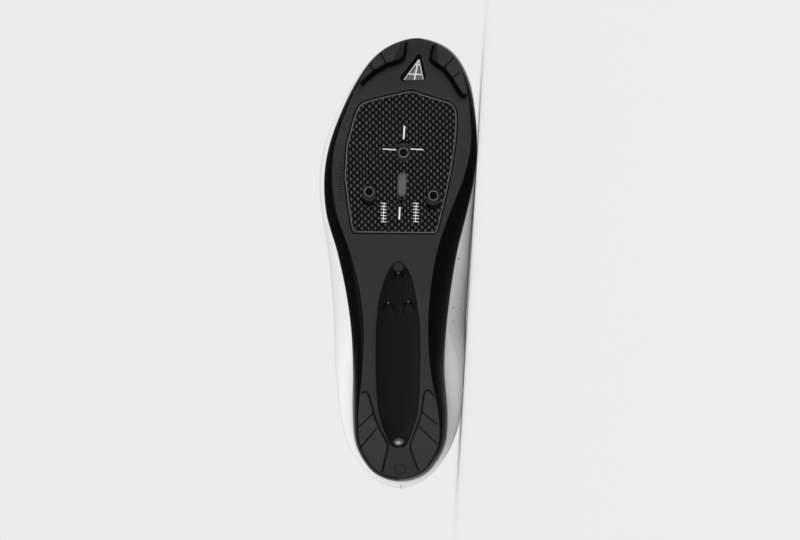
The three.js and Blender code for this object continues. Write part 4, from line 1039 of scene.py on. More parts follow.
locator_at = np.array([*LOCATOR_CENTRE, sole_height(LOCATOR_CENTRE[None])[0]])
locator_front = PLATE_RECESS + GAP
rows = turned([(1.2, locator_front + 0.3), (1.4, locator_front), (LOCATOR_RADIUS - 0.25, locator_front),
               (LOCATOR_RADIUS, locator_front + 0.25), (LOCATOR_RADIUS, POCKET - GAP), (1.2, POCKET - GAP)],
              locator_at, nut_frame("cleat_nut_front")[1], 40)
locator = make_piece("locator_turned", rows.reshape(-1, 3),
                     np.concatenate([between_rows(len(rows), 40),
                                     [[(len(rows) - 1) * 40 + i, (len(rows) - 1) * 40 + (i + 1) % 40,
                                       (i + 1) % 40, i] for i in range(40)]]), [nut_steel])
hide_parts("locator_nut")


# Vent screens: a grey woven screen behind the plate's slot, and a pale fine net in the toe vent.
screen = new_material("vent_screen", 0.2, 0.8)
screen_map = add_node(screen, "ShaderNodeUVMap", uv_map="form")
screen_scale = add_node(screen, "ShaderNodeMapping", inputs={
    "Vector": screen_map.outputs[0], "Scale": (100 / 0.5, 100 / 0.5, 1)})
screen_weave = add_node(screen, "ShaderNodeGroup", node_tree=weave, inputs=None)
screen.node_tree.links.new(screen_scale.outputs[0], screen_weave.inputs["Vector"])
screen_tone = add_node(screen, "ShaderNodeMix", data_type="RGBA", inputs={0: screen_weave.outputs["Height"]})
screen_tone.inputs[6].default_value = (0.05, 0.05, 0.05, 1)
screen_tone.inputs[7].default_value = (0.22, 0.22, 0.22, 1)
screen_bump = add_node(screen, "ShaderNodeBump", inputs={
    "Strength": 0.6, "Distance": 0.0002, "Height": screen_weave.outputs["Height"]})
to_shader(screen, Base_Color=screen_tone.outputs[2], Normal=screen_bump.outputs[0])
SCREEN = slot_outline(VENT_CENTRE, VENT_SLOT[0], VENT_SLOT[1] + 3 - 2 * GAP)
vent = make_relief("vent_screen_woven", SCREEN, [], [SCREEN], lambda p: np.full(len(p), BACK_OF_PLATE + GAP),
                   BACK_OF_PLATE + GAP + SCREEN_THICKNESS, 1.2, [screen])
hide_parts("vent_screen")

net = new_material("toe_net", 0.3, 0.7)
net_map = add_node(net, "ShaderNodeUVMap", uv_map="form")
net_scale = add_node(net, "ShaderNodeMapping", inputs={
    "Vector": net_map.outputs[0], "Scale": (100 / 0.55, 100 / 0.55, 1), "Rotation": (0, 0, 0.6)})
net_weave = add_node(net, "ShaderNodeGroup", node_tree=weave, inputs=None)
net.node_tree.links.new(net_scale.outputs[0], net_weave.inputs["Vector"])
net_lines = add_node(net, "ShaderNodeMapRange", inputs={
    "Value": net_weave.outputs["Height"], "From Min": 0.75, "From Max": 0.35})
net_tone = add_node(net, "ShaderNodeMix", data_type="RGBA", inputs={0: net_lines.outputs[0]})
net_tone.inputs[6].default_value = (0.02, 0.02, 0.02, 1)
net_tone.inputs[7].default_value = (0.16, 0.16, 0.16, 1)
to_shader(net, Base_Color=net_tone.outputs[2])
NET = moved_in(sampled(TOE_VENT, 1.0), GAP)
NET_SEEN = np.array([[282.7, 12.0], [268.6, 2.2], [268.6, 15.0]])
# Painted shade: outside the triangle that shows between the vent's walls, the net sits 0.6 mm deeper and takes the
# near-black finish.
toe_net = make_relief("toe_vent_net", NET, [], [NET, sampled(moved_in(NET_SEEN, 0.01), 1.0)],
                      lambda p: TOE_VENT_SINK + 0.6 * (depth_inside(p, NET_SEEN) < -0.2),
                      TOE_VENT_SINK + SCREEN_THICKNESS, 1.0, [net, shade],
                      lambda p: (depth_inside(p, NET_SEEN) < 0).astype(int))
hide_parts("toe_vent_mesh")
NET_RIBS = [(282.4, 11.6, 268.8, 9.0, 0.95), (279.0, 9.3, 279.0, 12.9, 0.9), (272.8, 4.6, 272.3, 14.3, 0.8),
            (282.4, 11.7, 269.0, 2.4, 0.5), (282.4, 12.1, 269.0, 14.8, 0.5)]
net_white = grained(new_material("net_ribs", 0.7, 0.6), 0.7, 0.6, 2500.0, 300.0, 0.08, 0.00001)
strips("toe_vent_ribs", NET_RIBS, TOE_VENT_SINK - 0.35, 0.33, net_white)


# Tread pads: four moulded rubber blocks, glued in their beds at the toe and the heel, each with two
# thin grooves across it.
PAD_GROOVE = 0.8
PAD_GROOVES = {
    "toe_pad_lateral": [(278.7, -9.1, 287.1, -13.3), (274.0, -16.7, 279.4, -20.3)],
    "toe_pad_medial": [(275.8, 28.2, 283.7, 34.9), (269.2, 33.6, 273.6, 38.9)],
    "heel_pad_lateral": [(51.4, -17.4, 42.6, -26.6), (42.0, -14.9, 29.5, -25.2)],
    "heel_pad_medial": [(52.4, 14.3, 44.6, 24.2), (43.3, 12.1, 31.8, 24.0)],
}
FACETS = {  # a line, the sloped facet on its right, and its slope
    "toe_pad_lateral": ((296.5, 1.2), (283.1, -4.2), 0.45),
    "toe_pad_medial": ((282.7, 24.4), (293.5, 24.1), 0.5),
}
rubber = grained(new_material("tread_rubber", 0.017, 0.55, specular=0.35), 0.017, 0.55, 1300.0, 40.0, 0.12,
                 0.00008, 0.4)
# Painted shade: a darker rubber for the toe pads' sloped facets, which face away from the light.
facet_shade = grained(new_material("tread_facet_painted_shade", 0.008, 0.5, specular=0.2), 0.008, 0.5, 1300.0, 40.0,
                       0.12, 0.00008, 0.4)


def groove_parts(line):
    """A groove's outline, and rows of points along both of its walls."""
    a, b = np.array(line[:2]), np.array(line[2:])
    long = np.linalg.norm(b - a)
    ahead = (b - a) / long
    aside = np.array([-ahead[1], ahead[0]]) * PAD_GROOVE
    outline = np.array([a + aside / 2, a - aside / 2, b - aside / 2, b + aside / 2])
    rows = np.array([a + ahead * t + aside * k for t in np.arange(0, long + 0.01, 0.4)
                     for k in (-0.5, -0.3, 0, 0.3, 0.5)])
    return outline, rows


def past_facet_line(name, points):
    """Distance from a pad's facet line, positive on the sloped side."""
    a, b, _ = FACETS[name]
    ahead = (np.array(b) - a) / math.dist(a, b)
    return (points[:, 0] - a[0]) * ahead[1] - (points[:, 1] - a[1]) * ahead[0]


def pad_front(name, height, bevel, grooves):
    outline = PAD_OUTLINES[name]

    def front(points):
        inside = depth_inside(points, outline)
        level = -height + bevel * np.clip(1 - inside / bevel, 0, 1) ** 1.4
        if name in FACETS:
            fall = FACETS[name][2] * np.maximum(past_facet_line(name, points), 0)
            level = np.minimum(level + fall, -0.5)
        for cut in grooves:
            level = np.where(depth_inside(points, cut) > 0.1, np.maximum(level, -0.5 * height), level)
        return level

    return front


for name, outline in PAD_OUTLINES.items():
    height = TOE_PAD_HEIGHT if name.startswith("toe") else HEEL_PAD_HEIGHT
    bevel = 0.9 if name.startswith("toe") else 0.6
    grooves, rows = zip(*[groove_parts(line) for line in PAD_GROOVES[name]])
    front = pad_front(name, height, bevel, grooves)
    loops = [outline] + loops_around(outline, (bevel * 0.3, bevel * 0.65, bevel))
    if name in FACETS:
        a, b, _ = FACETS[name]
        rows += (np.array(a) + np.linspace(-0.4, 1.3, 60)[:, None] * (np.array(b) - a),)

    # Grooves take the near-black painted shade, and the sloped facets the darker painted shade.
    def pad_finish(points):
        in_groove = np.max([depth_inside(points, cut) for cut in grooves], axis=0) > 0.03
        on_facet = past_facet_line(name, points) > 0.02 if name in FACETS else in_groove & False
        return np.select([in_groove, on_facet], [1, 2], 0)

    pad = make_relief(name + "_rubber", outline, [], loops, front, -GAP, 1.6, [rubber, shade, facet_shade],
                      pad_finish, 30, np.concatenate(rows))
    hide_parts(name)


# Upper: a smooth white synthetic skin over a thin backing, lasted onto the sole. It is one hollow
# shell, open at the collar, the throat and underneath, with a soft dark lining.
COLLAR_HEIGHT = 88
UPPER_WALL = 1.8
COLLAR_WALL = 3
UPPER_ROUNDING = 0.86
THROAT_FRONT = 6
EYELETS = 6
EYELET_RADIUS = 2.2
EYELET_INSET = 7
EYESTAY_THICKNESS = 1.2
EYESTAY_INSET = 9


def upper_face(rib, share):
    rib, share = np.broadcast_arrays(np.asarray(rib, float), np.asarray(share, float))
    foot = edge_point(rib)
    foot[..., 2] += GAP
    opening = np.sqrt(np.maximum(along(rib, column("openL", "openM") ** 2), 0))
    turn = rib % LOOP
    closed = (turn <= THROAT_FRONT) | (turn >= LOOP - THROAT_FRONT)
    sign = np.where(turn <= HEEL, -1, 1)
    top = np.stack([
        LENGTH * along(rib, column("roofX")),
        BALL_WIDTH * (along(rib, MIDDLE) + np.where(closed, 0, sign * opening)),
        COLLAR_HEIGHT * along(rib, column("roof")),
    ], -1)
    arch = along(rib, column("arch"))
    angle = share * math.pi / 2
    over = share + (1 - np.maximum(np.cos(angle), 0) ** UPPER_ROUNDING - share) * arch
    rise = share + (np.maximum(np.sin(angle), 0) ** UPPER_ROUNDING - share) * arch
    power = math.log(0.5) / np.log(along(rib, column("swellAt")))
    swell = BALL_WIDTH * along(rib, column("swellL", "swellM")) * np.sin(math.pi * share ** power)
    step = top - foot
    point = foot + step * np.stack([over, over, rise], -1)
    return point - inward(rib) * swell[..., None]


def face_normal(rib, share):
    step = 0.02
    low, high = np.maximum(share - step, 0), np.minimum(share + step, 1)
    around = upper_face(rib + step, share) - upper_face(rib - step, share)
    up = upper_face(rib, high) - upper_face(rib, low)
    return -unit(np.cross(around, up))


def upper_point(rib, share, depth):
    rib, share = np.broadcast_arrays(np.asarray(rib, float), np.asarray(share, float))
    normal = face_normal(rib, share)
    turn = rib % LOOP
    ridge = ((turn <= THROAT_FRONT) | (turn >= LOOP - THROAT_FRONT)) & (share > 0.999)
    near = np.full(rib.shape, 0.97)
    shared = unit(face_normal(rib, near) + face_normal((LOOP - rib) % LOOP, near))
    normal = np.where(ridge[..., None], shared, normal)
    level = unit(normal * (1, 1, 0))
    normal = np.where((share < 0.001)[..., None], level, normal)
    return upper_face(rib, share) - normal * np.asarray(depth)[..., None]


def smooth_step(value, low, high):
    t = np.clip((value - low) / (high - low), 0, 1)
    return t * t * (3 - 2 * t)


def wall_depth(rib, share):
    back_part = smooth_step(np.minimum(rib, LOOP - rib), THROAT_FRONT + 4, THROAT_FRONT + 5.2)
    return UPPER_WALL + (COLLAR_WALL - UPPER_WALL) * back_part * smooth_step(share, 0.55, 0.95)


def share_from_top(rib, distance):
    """The share of a rib that lies at a distance from the top line, along the surface."""
    shares = np.linspace(1, 0, 401)
    points = upper_face(np.full(401, float(rib)), shares)
    gone = np.concatenate([[0], np.cumsum(np.linalg.norm(np.diff(points, axis=0), axis=1))])
    return float(np.interp(distance, gone, shares))


throat_fine = THROAT_FRONT + np.array([0.01, 0.03, 0.07, 0.18])
UPPER_RIBS = np.unique(np.concatenate([np.arange(0, LOOP, 0.125), throat_fine, LOOP - throat_fine]))
UPPER_SHARES = np.concatenate([np.linspace(0, 0.1, 5)[:-1], np.linspace(0.1, 0.9, 27)[:-1],
                               np.linspace(0.9, 1, 6)])


def shell_piece(name, outer_depth, inner_depth, shares, materials, round_top=0.0):
    ribs, rows = np.meshgrid(UPPER_RIBS, shares)
    outer = upper_point(ribs, rows, outer_depth(ribs, rows))
    inner = upper_point(ribs, rows, inner_depth(ribs, rows))
    width = len(UPPER_RIBS)
    count = len(shares)
    over = upper_face(UPPER_RIBS, np.ones(width)) - upper_face(UPPER_RIBS, np.full(width, 0.985))
    gap = np.linalg.norm(outer[-1] - inner[-1], axis=-1, keepdims=True)
    crown = (outer[-1] + inner[-1]) / 2 + unit(over) * gap * round_top
    quarter = [(outer[-1] * 0.85 + inner[-1] * 0.15) + unit(over) * gap * round_top * 0.7,
               crown, (outer[-1] * 0.15 + inner[-1] * 0.85) + unit(over) * gap * round_top * 0.7]
    lip_rows = np.array([outer[-1], *quarter, inner[-1]])
    points = np.concatenate([outer.reshape(-1, 3), inner.reshape(-1, 3), lip_rows.reshape(-1, 3)])
    outside = between_rows(count, width)
    inside = between_rows(count, width, count * width)[:, ::-1]
    lip = between_rows(5, width, 2 * count * width)
    start_rib = UPPER_RIBS[(lip[:, 0] - 2 * count * width) % width]
    open_part = (start_rib >= THROAT_FRONT) & (start_rib < LOOP - THROAT_FRONT)
    lip = lip[open_part]
    j = np.arange(width)
    foot = np.stack([count * width + j, count * width + (j + 1) % width, (j + 1) % width, j], -1)
    faces = np.concatenate([outside, inside, lip, foot])
    finish = np.concatenate([np.zeros(len(outside)), np.ones(len(inside)), np.full(len(lip), 2),
                             np.ones(len(foot))])
    u = np.concatenate([ribs.ravel(), ribs.ravel(), np.tile(UPPER_RIBS, 5)])
    v = np.concatenate([rows.ravel(), rows.ravel(), np.ones(5 * width)])
    return make_piece(name, points, faces, materials, finish.astype(int), np.stack([u, v], -1), 50)


white_skin = grained(new_material("white_skin", 0.8, 0.42), 0.8, 0.42, 900.0, 18.0, 0.02, 0.00005, 0.25)
lining = grained(new_material("lining_fabric", 0.05, 0.9, specular=0.2), 0.05, 0.9, 1200.0, 60.0, 0.15,
                 0.0002, 0.8)
binding = grained(new_material("collar_binding", 0.7, 0.6), 0.7, 0.6, 1600.0, 60.0, 0.04, 0.00008, 0.5)
CREASES = [  # rib across the vamp, share of the rib from and to, depth, half width in ribs
    (6.25, 0.35, 0.8, 0.45, 0.14), (5.8, 0.4, 0.75, 0.3, 0.12), (25.6, 0.35, 0.8, 0.4, 0.14), (26.1, 0.4,
                                                                                               0.75, 0.3, 0.12),
    (12.4, 0.45, 0.9, 0.5, 0.2), (19.6, 0.45, 0.9, 0.5, 0.2),
]


def skin_depth(rib, share):
    """Soft flex creases over the ball and beside the ankle."""
    depth = 0 * share
    for at, low, high, deep, wide in CREASES:
        bow = at + 0.25 * (share - 0.5) * (1 if at > HEEL else -1)
        middle = np.sin(math.pi * np.clip((share - low) / (high - low), 0, 1)) ** 2
        depth = depth + deep * middle * np.exp(-((rib - bow) / wide) ** 2)
        depth = depth - 0.35 * deep * middle * np.exp(-((np.abs(rib - bow) - 2.2 * wide) / wide) ** 2)
    return depth


upper = shell_piece("upper_skin", skin_depth, wall_depth, UPPER_SHARES, [white_skin, lining, binding], 0.45)
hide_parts("upper")


# Eyestay: a second layer of the same skin, cut to a U and stitched on around the throat, and punched
# through together with the upper for six pairs of plain eyelets.
eyestay = shell_piece("eyestay_layer", lambda r, s: 0 * s - GAP - EYESTAY_THICKNESS, lambda r, s: 0 * s - GAP,
                      np.linspace(0.55, 1, 22), [white_skin, white_skin, white_skin], 0.3)


def eyestay_side(sign):
    points = []
    for i, station in enumerate((8.4, 7.7, 7, 6.4, 6, 5.75)):
        rib = THROAT_FRONT + 4.15 - (8.4 - station) * 1.6
        top = upper_face(rib if sign < 0 else LOOP - rib, 1.0)
        points.append((top[0] + max(i - 3, 0) * 3.2, top[1] + sign * EYESTAY_INSET * (0.6 if i > 4 else 1)))
    return points


eyestay_outline = rounded([*eyestay_side(-1), *eyestay_side(1)[::-1]], 6, 6)


def cutter(name, points, faces):
    mesh = bpy.data.meshes.new(name)
    mesh.from_pydata(place(points).tolist(), [], [tuple(int(i) for i in face) for face in faces])
    tool = bpy.data.objects.new(name, mesh)
    bpy.context.collection.objects.link(tool)
    work = bmesh.new()
    work.from_mesh(mesh)
    bmesh.ops.recalc_face_normals(work, faces=work.faces)
    work.to_mesh(mesh)
    work.free()
    return tool


def cut(piece, tool, operation):
    bpy.ops.object.select_all(action="DESELECT")
    piece.select_set(True)
    bpy.context.view_layer.objects.active = piece
    change = piece.modifiers.new("cut", "BOOLEAN")
    change.operation = operation
    change.object = tool
    change.solver = "EXACT"
    bpy.ops.object.modifier_apply(modifier=change.name)
    piece.select_set(False)


count = len(eyestay_outline)
prism = np.concatenate([np.column_stack([eyestay_outline, np.full(count, z)]) for z in (40.0, 140.0)])
ring = np.arange(count)
prism_faces = [ring.tolist(), (ring + count)[::-1].tolist()]
prism_faces += np.stack([ring, (ring + 1) % count, (ring + 1) % count + count, ring + count], -1).tolist()
pattern = cutter("eyestay_pattern", prism, prism_faces)
cut(eyestay, pattern, "INTERSECT")
bpy.data.objects.remove(pattern)

eyelet_ribs = THROAT_FRONT + np.linspace(0.75, 3.55, EYELETS)
punch_points, punch_faces = [], []
sides = 28
for rib in [*eyelet_ribs, *(LOOP - eyelet_ribs)]:
    share = share_from_top(rib, EYELET_INSET)
    normal = face_normal(np.array(rib), np.array(share))
    centre = upper_face(rib, share)
    helper = unit(np.cross(normal, (1.0, 0.0, 0.0)))
    other = np.cross(normal, helper)
    angle = np.linspace(0, 2 * math.pi, sides + 1)[:-1, None]
    circle = EYELET_RADIUS * (np.cos(angle) * helper + np.sin(angle) * other)
    start = len(punch_points)
    for depth in (-7, 7):
        punch_points += (centre + normal * depth + circle).tolist()
    ring = start + np.arange(sides)
    after = start + (np.arange(sides) + 1) % sides
    punch_faces += [ring.tolist(), (ring + sides)[::-1].tolist()]
    punch_faces += np.stack([ring, after, after + sides, ring + sides], -1).tolist()
punch = cutter("eyelet_punch", np.array(punch_points), punch_faces)
for piece in (upper, eyestay):
    cut(piece, punch, "DIFFERENCE")
    bpy.ops.object.select_all(action="DESELECT")
    piece.select_set(True)
    bpy.context.view_layer.objects.active = piece
    bpy.ops.object.shade_smooth_by_angle(angle=math.radians(45))
bpy.data.objects.remove(punch)
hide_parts("eyestay")


# Sewing: rows of short white stitches along the eyestay, the collar and the heel seam, laid half into
# the skin, and five needle holes on the medial side.
thread = grained(new_material("thread", 0.6, 0.7), 0.6, 0.7, 3000.0, 400.0, 0.1, 0.00001)


def on_skin(ribs, shares, lift):
    ribs, shares = np.broadcast_arrays(np.asarray(ribs, float), np.asarray(shares, float))
    return upper_point(ribs, shares, skin_depth(ribs, shares) - lift), face_normal(ribs, shares)


def sewn(name, paths, pitch=2.6, long=1.9, thick=0.42):
    """Short rounded stitches at an even pitch along each path of points and normals."""
    points, faces = [], []
    profile = [(-0.5, 0.25), (-0.3, 0.9), (0.0, 1.0), (0.3, 0.9), (0.5, 0.25)]
    for path, normals in paths:
        gone = np.concatenate([[0], np.cumsum(np.linalg.norm(np.diff(path, axis=0), axis=1))])
        for at in np.arange(pitch / 2, gone[-1], pitch):
            a, b = [np.array([np.interp(d, gone, path[:, k]) for k in range(3)]) for d in (at - 0.3,
                                                                                           at + 0.3)]
            up = unit(np.array([np.interp(at, gone, normals[:, k]) for k in range(3)]))
            ahead = unit(b - a)
            aside = np.cross(up, ahead)
            start = len(points)
            for t, size in profile:
                for angle in np.arange(6) * math.pi / 3:
                    ring_point = (a + b) / 2 + ahead * t * long
                    points.append(ring_point + (aside * math.cos(angle) + up * math.sin(angle)) * size * thick / 2)
            faces += between_rows(len(profile), 6, start).tolist()
            faces += [list(range(start, start + 6)), list(range(start + 24, start + 30))]
    made = make_piece(name, np.array(points), faces, [thread], smooth=60, merge=0.000001)
    return made


rows_of_thread = []
LIFT = GAP + EYESTAY_THICKNESS + 0.05
stay_ribs = np.linspace(THROAT_FRONT + 0.35, THROAT_FRONT + 3.9, 60)
for distance in (1.6, (EYESTAY_INSET - 1.0) * 1.12):
    for ribs in (stay_ribs, LOOP - stay_ribs):
        shares = np.array([share_from_top(rib, distance) for rib in ribs])
        rows_of_thread.append(on_skin(ribs, shares, LIFT))
collar_ribs = np.linspace(THROAT_FRONT + 4.6, LOOP - THROAT_FRONT - 4.6, 160)
collar_shares = np.array([share_from_top(rib, 4.5) for rib in collar_ribs])
rows_of_thread.append(on_skin(collar_ribs, collar_shares, 0.05))
for rib in (HEEL - 0.22, HEEL + 0.22):
    heel_shares = np.linspace(0.1, 0.93, 60)
    rows_of_thread.append(on_skin(np.full(60, rib), heel_shares, 0.05))
sewn("upper_stitches", rows_of_thread)


def cord_piece(name, paths, radius, material, sides=8):
    """A fine raised line through points on the skin."""
    points, faces = [], []
    for path, normals in paths:
        ahead = unit(np.gradient(path, axis=0))
        aside = np.cross(normals, ahead)
        start = len(points)
        for angle in np.arange(sides) * 2 * math.pi / sides:
            points += (path + (aside * math.cos(angle) + normals * math.sin(angle)) * radius).tolist()
        count = len(path)
        faces += [[start + i * count + j, start + ((i + 1) % sides) * count + j,
                   start + ((i + 1) % sides) * count + j + 1, start + i * count + j + 1]
                  for i in range(sides) for j in range(count - 1)]
        faces += [[start + i * count for i in range(sides)],
                  [start + i * count + count - 1 for i in range(sides)]]
    made = make_piece(name, np.array(points), faces, [material], smooth=60, merge=0.000001)
    return made


VIEW_DISTANCE = 1600  # from the photograph's camera to the sole
VIEW_CENTRE = np.array([145.0, 62.7])  # the sole's plan at the middle of the photograph


def skin_seen(x, y):
    """The rib and share of the medial skin that shows at a place in the photograph's view of the sole."""
    ribs, shares = np.meshgrid(np.arange(HEEL, LOOP, 0.05), np.linspace(0, 1, 201))
    points = upper_face(ribs, shares)
    shrink = VIEW_DISTANCE / (VIEW_DISTANCE + points[..., 2:])
    seen = VIEW_CENTRE + (points[..., :2] - VIEW_CENTRE) * shrink
    miss = ((seen - (x, y)) ** 2).sum(-1) + 0.9 * shares
    best = np.unravel_index(np.argmin(miss), miss.shape)
    return ribs[best], shares[best]


seam_grey = grained(new_material("seam_line", 0.4, 0.6), 0.4, 0.6, 2500.0, 300.0, 0.08, 0.00001)
heel_line = on_skin(np.full(60, float(HEEL)), np.linspace(0.01, 0.965, 60), 0.02)
PANEL_SEAM = [(73.9, 40.3), (81.8, 39.3), (89.1, 37.6), (95.7, 35.6), (103.6, 33.7)]  # x and y
seam_ribs, seam_shares = np.array([skin_seen(x, y) for x, y in PANEL_SEAM]).T
seam_ribs = [seam_ribs[0] - 0.2, *seam_ribs, seam_ribs[-1] + 0.1]
seam_shares = [seam_shares[0] + 0.025, *seam_shares, seam_shares[-1] - 0.025]
panel_rib = np.linspace(seam_ribs[0], seam_ribs[-1], 40)
panel_line = on_skin(panel_rib, np.interp(panel_rib, seam_ribs, seam_shares), 0.02)
cord_piece("heel_seam", [heel_line], 0.28, seam_grey)
cord_piece("panel_seam", [panel_line], 0.3, thread)

PINHOLES = [(152.5, 38.0), (126.7, 40.3), (119.5, 35.0), (118.8, 39.6), (111.5, 34.7)]  # x and y
PINHOLE_SIDES = 14
hole_points, hole_faces = [], []
for x, y in PINHOLES:
    centre, normal = on_skin(*skin_seen(x, y), 0.04)
    helper = unit(np.cross(normal, (1.0, 0.0, 0.0)))
    angle = np.linspace(0, 2 * math.pi, PINHOLE_SIDES + 1)[:-1, None]
    circle = np.cos(angle) * helper + np.sin(angle) * np.cross(normal, helper)
    start = len(hole_points)
    hole_points += (centre + circle * 0.6 - normal * 0.06).tolist() + (centre + circle * 0.45).tolist()
    hole_points.append((centre - normal * 0.03).tolist())
    for i in range(PINHOLE_SIDES):
        j = (i + 1) % PINHOLE_SIDES
        inner, next_inner = start + PINHOLE_SIDES + i, start + PINHOLE_SIDES + j
        hole_faces += [[start + i, start + j, next_inner, inner], [inner, next_inner,
                                                                   start + 2 * PINHOLE_SIDES]]
needle_holes = make_piece("needle_holes", np.array(hole_points), hole_faces, [lining], smooth=60,
                          merge=0.000001)


# Tongue: a thin foam pad covered with the same skin, sewn in at the front of the throat and free at
# its top.
TONGUE_THICKNESS = 3.5
TONGUE_GAP = 1.4
TONGUE_RISE = 25


def curve_through(points, t):
    """Points on a smooth curve through control points, at even shares of its spans."""
    points = np.asarray(points)
    spans = len(points) - 1
    at = np.clip(np.asarray(t) * spans, 0, spans - 1e-9)
    low = np.floor(at).astype(int)
    u = (at - low)[:, None]
    padded = np.concatenate([[2 * points[0] - points[1]], points, [2 * points[-1] - points[-2]]])
    a, b, c, d = (padded[low + k] for k in range(4))
    return b + 0.5 * u * (c - a + u * (2 * a - 5 * b + 4 * c - d + u * (3 * (b - c) + d - a)))


def tongue_curve(rib, depth):
    shares = [share_from_top(rib, EYELET_INSET * (1.9 - 0.95 * i)) for i in range(3)]
    left, right = [
        [upper_point(at, share, wall_depth(np.array(at), np.array(share)) + depth) for share in shares]
        for at in (rib, LOOP - rib)
    ]
    crown = (left[2] - left[1] + right[2] - right[1]) / 2
    reach = np.linalg.norm(left[2] - right[2]) / (4 * np.linalg.norm(left[2] - left[1]))
    bridge = (left[2] + right[2]) / 2 + crown * reach
    return np.array([*left, bridge, *right[::-1]])


TONGUE_ACROSS = np.linspace(0, 1, 25)
pad_share = np.clip(1 - (2 * TONGUE_ACROSS - 1) ** 6, 0.0, 1) ** 0.5
pad_share = np.maximum(pad_share, 0.18)


def tongue_section(rib):
    outer, inner = [curve_through(tongue_curve(rib, depth), TONGUE_ACROSS)
                    for depth in (TONGUE_GAP, TONGUE_GAP + TONGUE_THICKNESS)]
    centre = (outer + inner) / 2
    return centre + (outer - centre) * pad_share[:, None], centre + (inner - centre) * pad_share[:, None]


tongue_ribs = np.linspace(THROAT_FRONT + 0.2, THROAT_FRONT + 3.6, 30)
sections = [tongue_section(rib) for rib in tongue_ribs]
end_outer, end_inner = sections[-1]
climb = unit(end_outer[12] - sections[-8][0][12])
for share in np.linspace(0.04, 1, 18):
    narrow = np.interp(share, (0, 0.12, 0.5, 0.85, 0.96, 1), (1, 0.75, 0.7, 0.62, 0.5, 0.36))
    thin = np.interp(share, (0, 0.9, 1), (1, 1, 0.35))
    moved = []
    for row, other in ((end_outer, end_inner), (end_inner, end_outer)):
        centre = row[12]
        centre_line = (row + other) / 2
        rounded_row = centre_line + (row - centre_line) * thin
        moved.append(rounded_row + (centre - rounded_row) * (1 - narrow) * np.array([1, 1, 1])
                     + climb * TONGUE_RISE * share)
    sections.append(tuple(moved))
rings = np.array([np.concatenate([outer, inner[::-1]]) for outer, inner in sections])
width = rings.shape[1]
tongue_faces = between_rows(len(rings), width).tolist()
for row in (0, len(rings) - 1):
    start = row * width
    for i in range(24):
        tongue_faces.append([start + i, start + i + 1, start + width - 2 - i, start + width - 1 - i])
tongue_uv = np.stack([np.tile(np.concatenate([TONGUE_ACROSS, TONGUE_ACROSS[::-1]]), len(rings)),
                      np.repeat(np.linspace(0, 1, len(rings)), width)], -1)
tongue_skin = grained(new_material("tongue_skin", 0.78, 0.5), 0.78, 0.5, 900.0, 18.0, 0.02, 0.00006, 0.3)
tongue = make_piece("tongue_padded", rings.reshape(-1, 3), tongue_faces, [tongue_skin], uvs=tongue_uv,
                    smooth=60)
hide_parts("tongue")


# Insole: a thin foam bed under a brushed fabric, laid loose in the sole.
INSOLE_THICKNESS = 3.4
insole_shares = np.array([0.08, 0.1, 0.13, 0.18, 0.25, 0.32, 0.45, 0.6, 0.8, 1])
bed_rows = [seat_point(EDGE_RIBS[::2], SOLE_RIM, share, GAP) for share in insole_shares[::-1]]
top_rows = [seat_point(EDGE_RIBS[::2], SOLE_RIM, share, GAP + INSOLE_THICKNESS * min(1,
                                                                                     0.4 + 3 * (share - 0.08)))
            for share in insole_shares]
rows = np.array(bed_rows + top_rows)
insole = make_piece("insole_bed", rows.reshape(-1, 3), between_rows(len(rows), rows.shape[1]), [lining],
                    smooth=45)
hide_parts("insole")


# Lace: a flat woven braid. Its six visible runs go straight across the throat and down into the
# eyelets.
LACE_WIDTH = 5.4
LACE_THICKNESS = 1.3
LACE_CLEARANCE = 1.2
braid = new_material("lace_braid", 0.8, 0.85, specular=0.2)
braid_map = add_node(braid, "ShaderNodeUVMap", uv_map="form")
braid_scale = add_node(braid, "ShaderNodeMapping", inputs={
    "Vector": braid_map.outputs[0], "Scale": (60, 12, 1), "Rotation": (0, 0, 0.785)})
braid_weave = add_node(braid, "ShaderNodeGroup", node_tree=weave, inputs=None)
braid.node_tree.links.new(braid_scale.outputs[0], braid_weave.inputs["Vector"])
braid_tone = add_node(braid, "ShaderNodeMix", data_type="RGBA", inputs={0: braid_weave.outputs["Height"]})
braid_tone.inputs[6].default_value = (0.5, 0.5, 0.5, 1)
braid_tone.inputs[7].default_value = (0.84, 0.84, 0.84, 1)
braid_bump = add_node(braid, "ShaderNodeBump", inputs={
    "Strength": 0.7, "Distance": 0.0002, "Height": braid_weave.outputs["Height"]})
to_shader(braid, Base_Color=braid_tone.outputs[2], Normal=braid_bump.outputs[0])


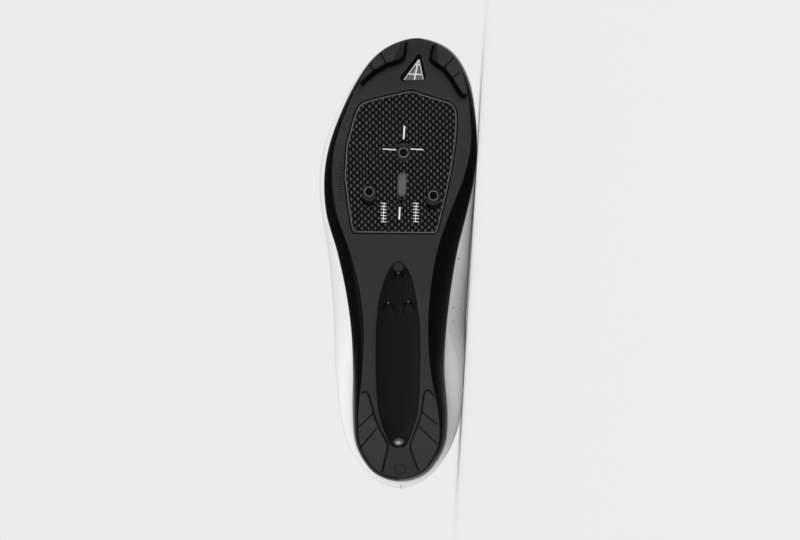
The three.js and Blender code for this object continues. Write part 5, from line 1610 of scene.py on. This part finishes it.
def lace_rings(rib, steps=48, sides=20):
    lift = -(GAP + EYESTAY_THICKNESS + LACE_CLEARANCE)
    hole, mouth_at, edge = [[], [], []]
    for at in (rib, LOOP - rib):
        hole.append(upper_point(at, share_from_top(at, EYELET_INSET), 0.4))
        mouth_at.append(upper_point(at, share_from_top(at, EYELET_INSET - 0.2), lift))
        edge.append(upper_point(at, share_from_top(at, 1.5), lift))
    top = (edge[0] + edge[1]) / 2 + (edge[0] - mouth_at[0] + edge[1] - mouth_at[1]) * 0.35
    path = [hole[0], mouth_at[0], edge[0], top, edge[1], mouth_at[1], hole[1]]
    shares = np.linspace(0, 1, steps + 1)
    centres = curve_through(path, shares)
    ahead = unit(np.gradient(centres, axis=0))
    side = upper_face(rib + 0.2, 1.0) - upper_face(rib - 0.2, 1.0)
    side = unit(side * (1, 0, 1))
    wide = unit(side - ahead * (ahead @ side)[:, None])
    thick = np.cross(ahead, wide)
    squeeze = smooth_step(np.minimum(shares, 1 - shares), 0.02, 0.14)
    half = (EYELET_RADIUS - 3 * GAP) * (1 - squeeze) + LACE_WIDTH / 2 * squeeze
    angle = np.linspace(0, 2 * math.pi, sides + 1)[:-1]
    flat_x = np.sign(np.cos(angle)) * np.abs(np.cos(angle)) ** 0.6
    flat_y = np.sign(np.sin(angle)) * np.abs(np.sin(angle)) ** 0.8
    return (centres[:, None] + wide[:, None] * (half[:, None, None] * flat_x[None, :, None])
            + thick[:, None] * (LACE_THICKNESS / 2 * flat_y)[None, :, None])


for number, rib in enumerate(eyelet_ribs, 1):
    rings = lace_rings(rib)
    count, width = rings.shape[:2]
    lace_faces = between_rows(count, width).tolist()
    lace_faces += [list(range(width)), list(range((count - 1) * width, count * width))]
    lace_uv = np.stack([np.repeat(np.linspace(0, 1, count), width), np.tile(np.linspace(0, 1, width),
                                                                            count)], -1)
    lace = make_piece(f"lace_run_{number}", rings.reshape(-1, 3), lace_faces, [braid], uvs=lace_uv, smooth=60)
    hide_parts(f"lace_bar_{number}")
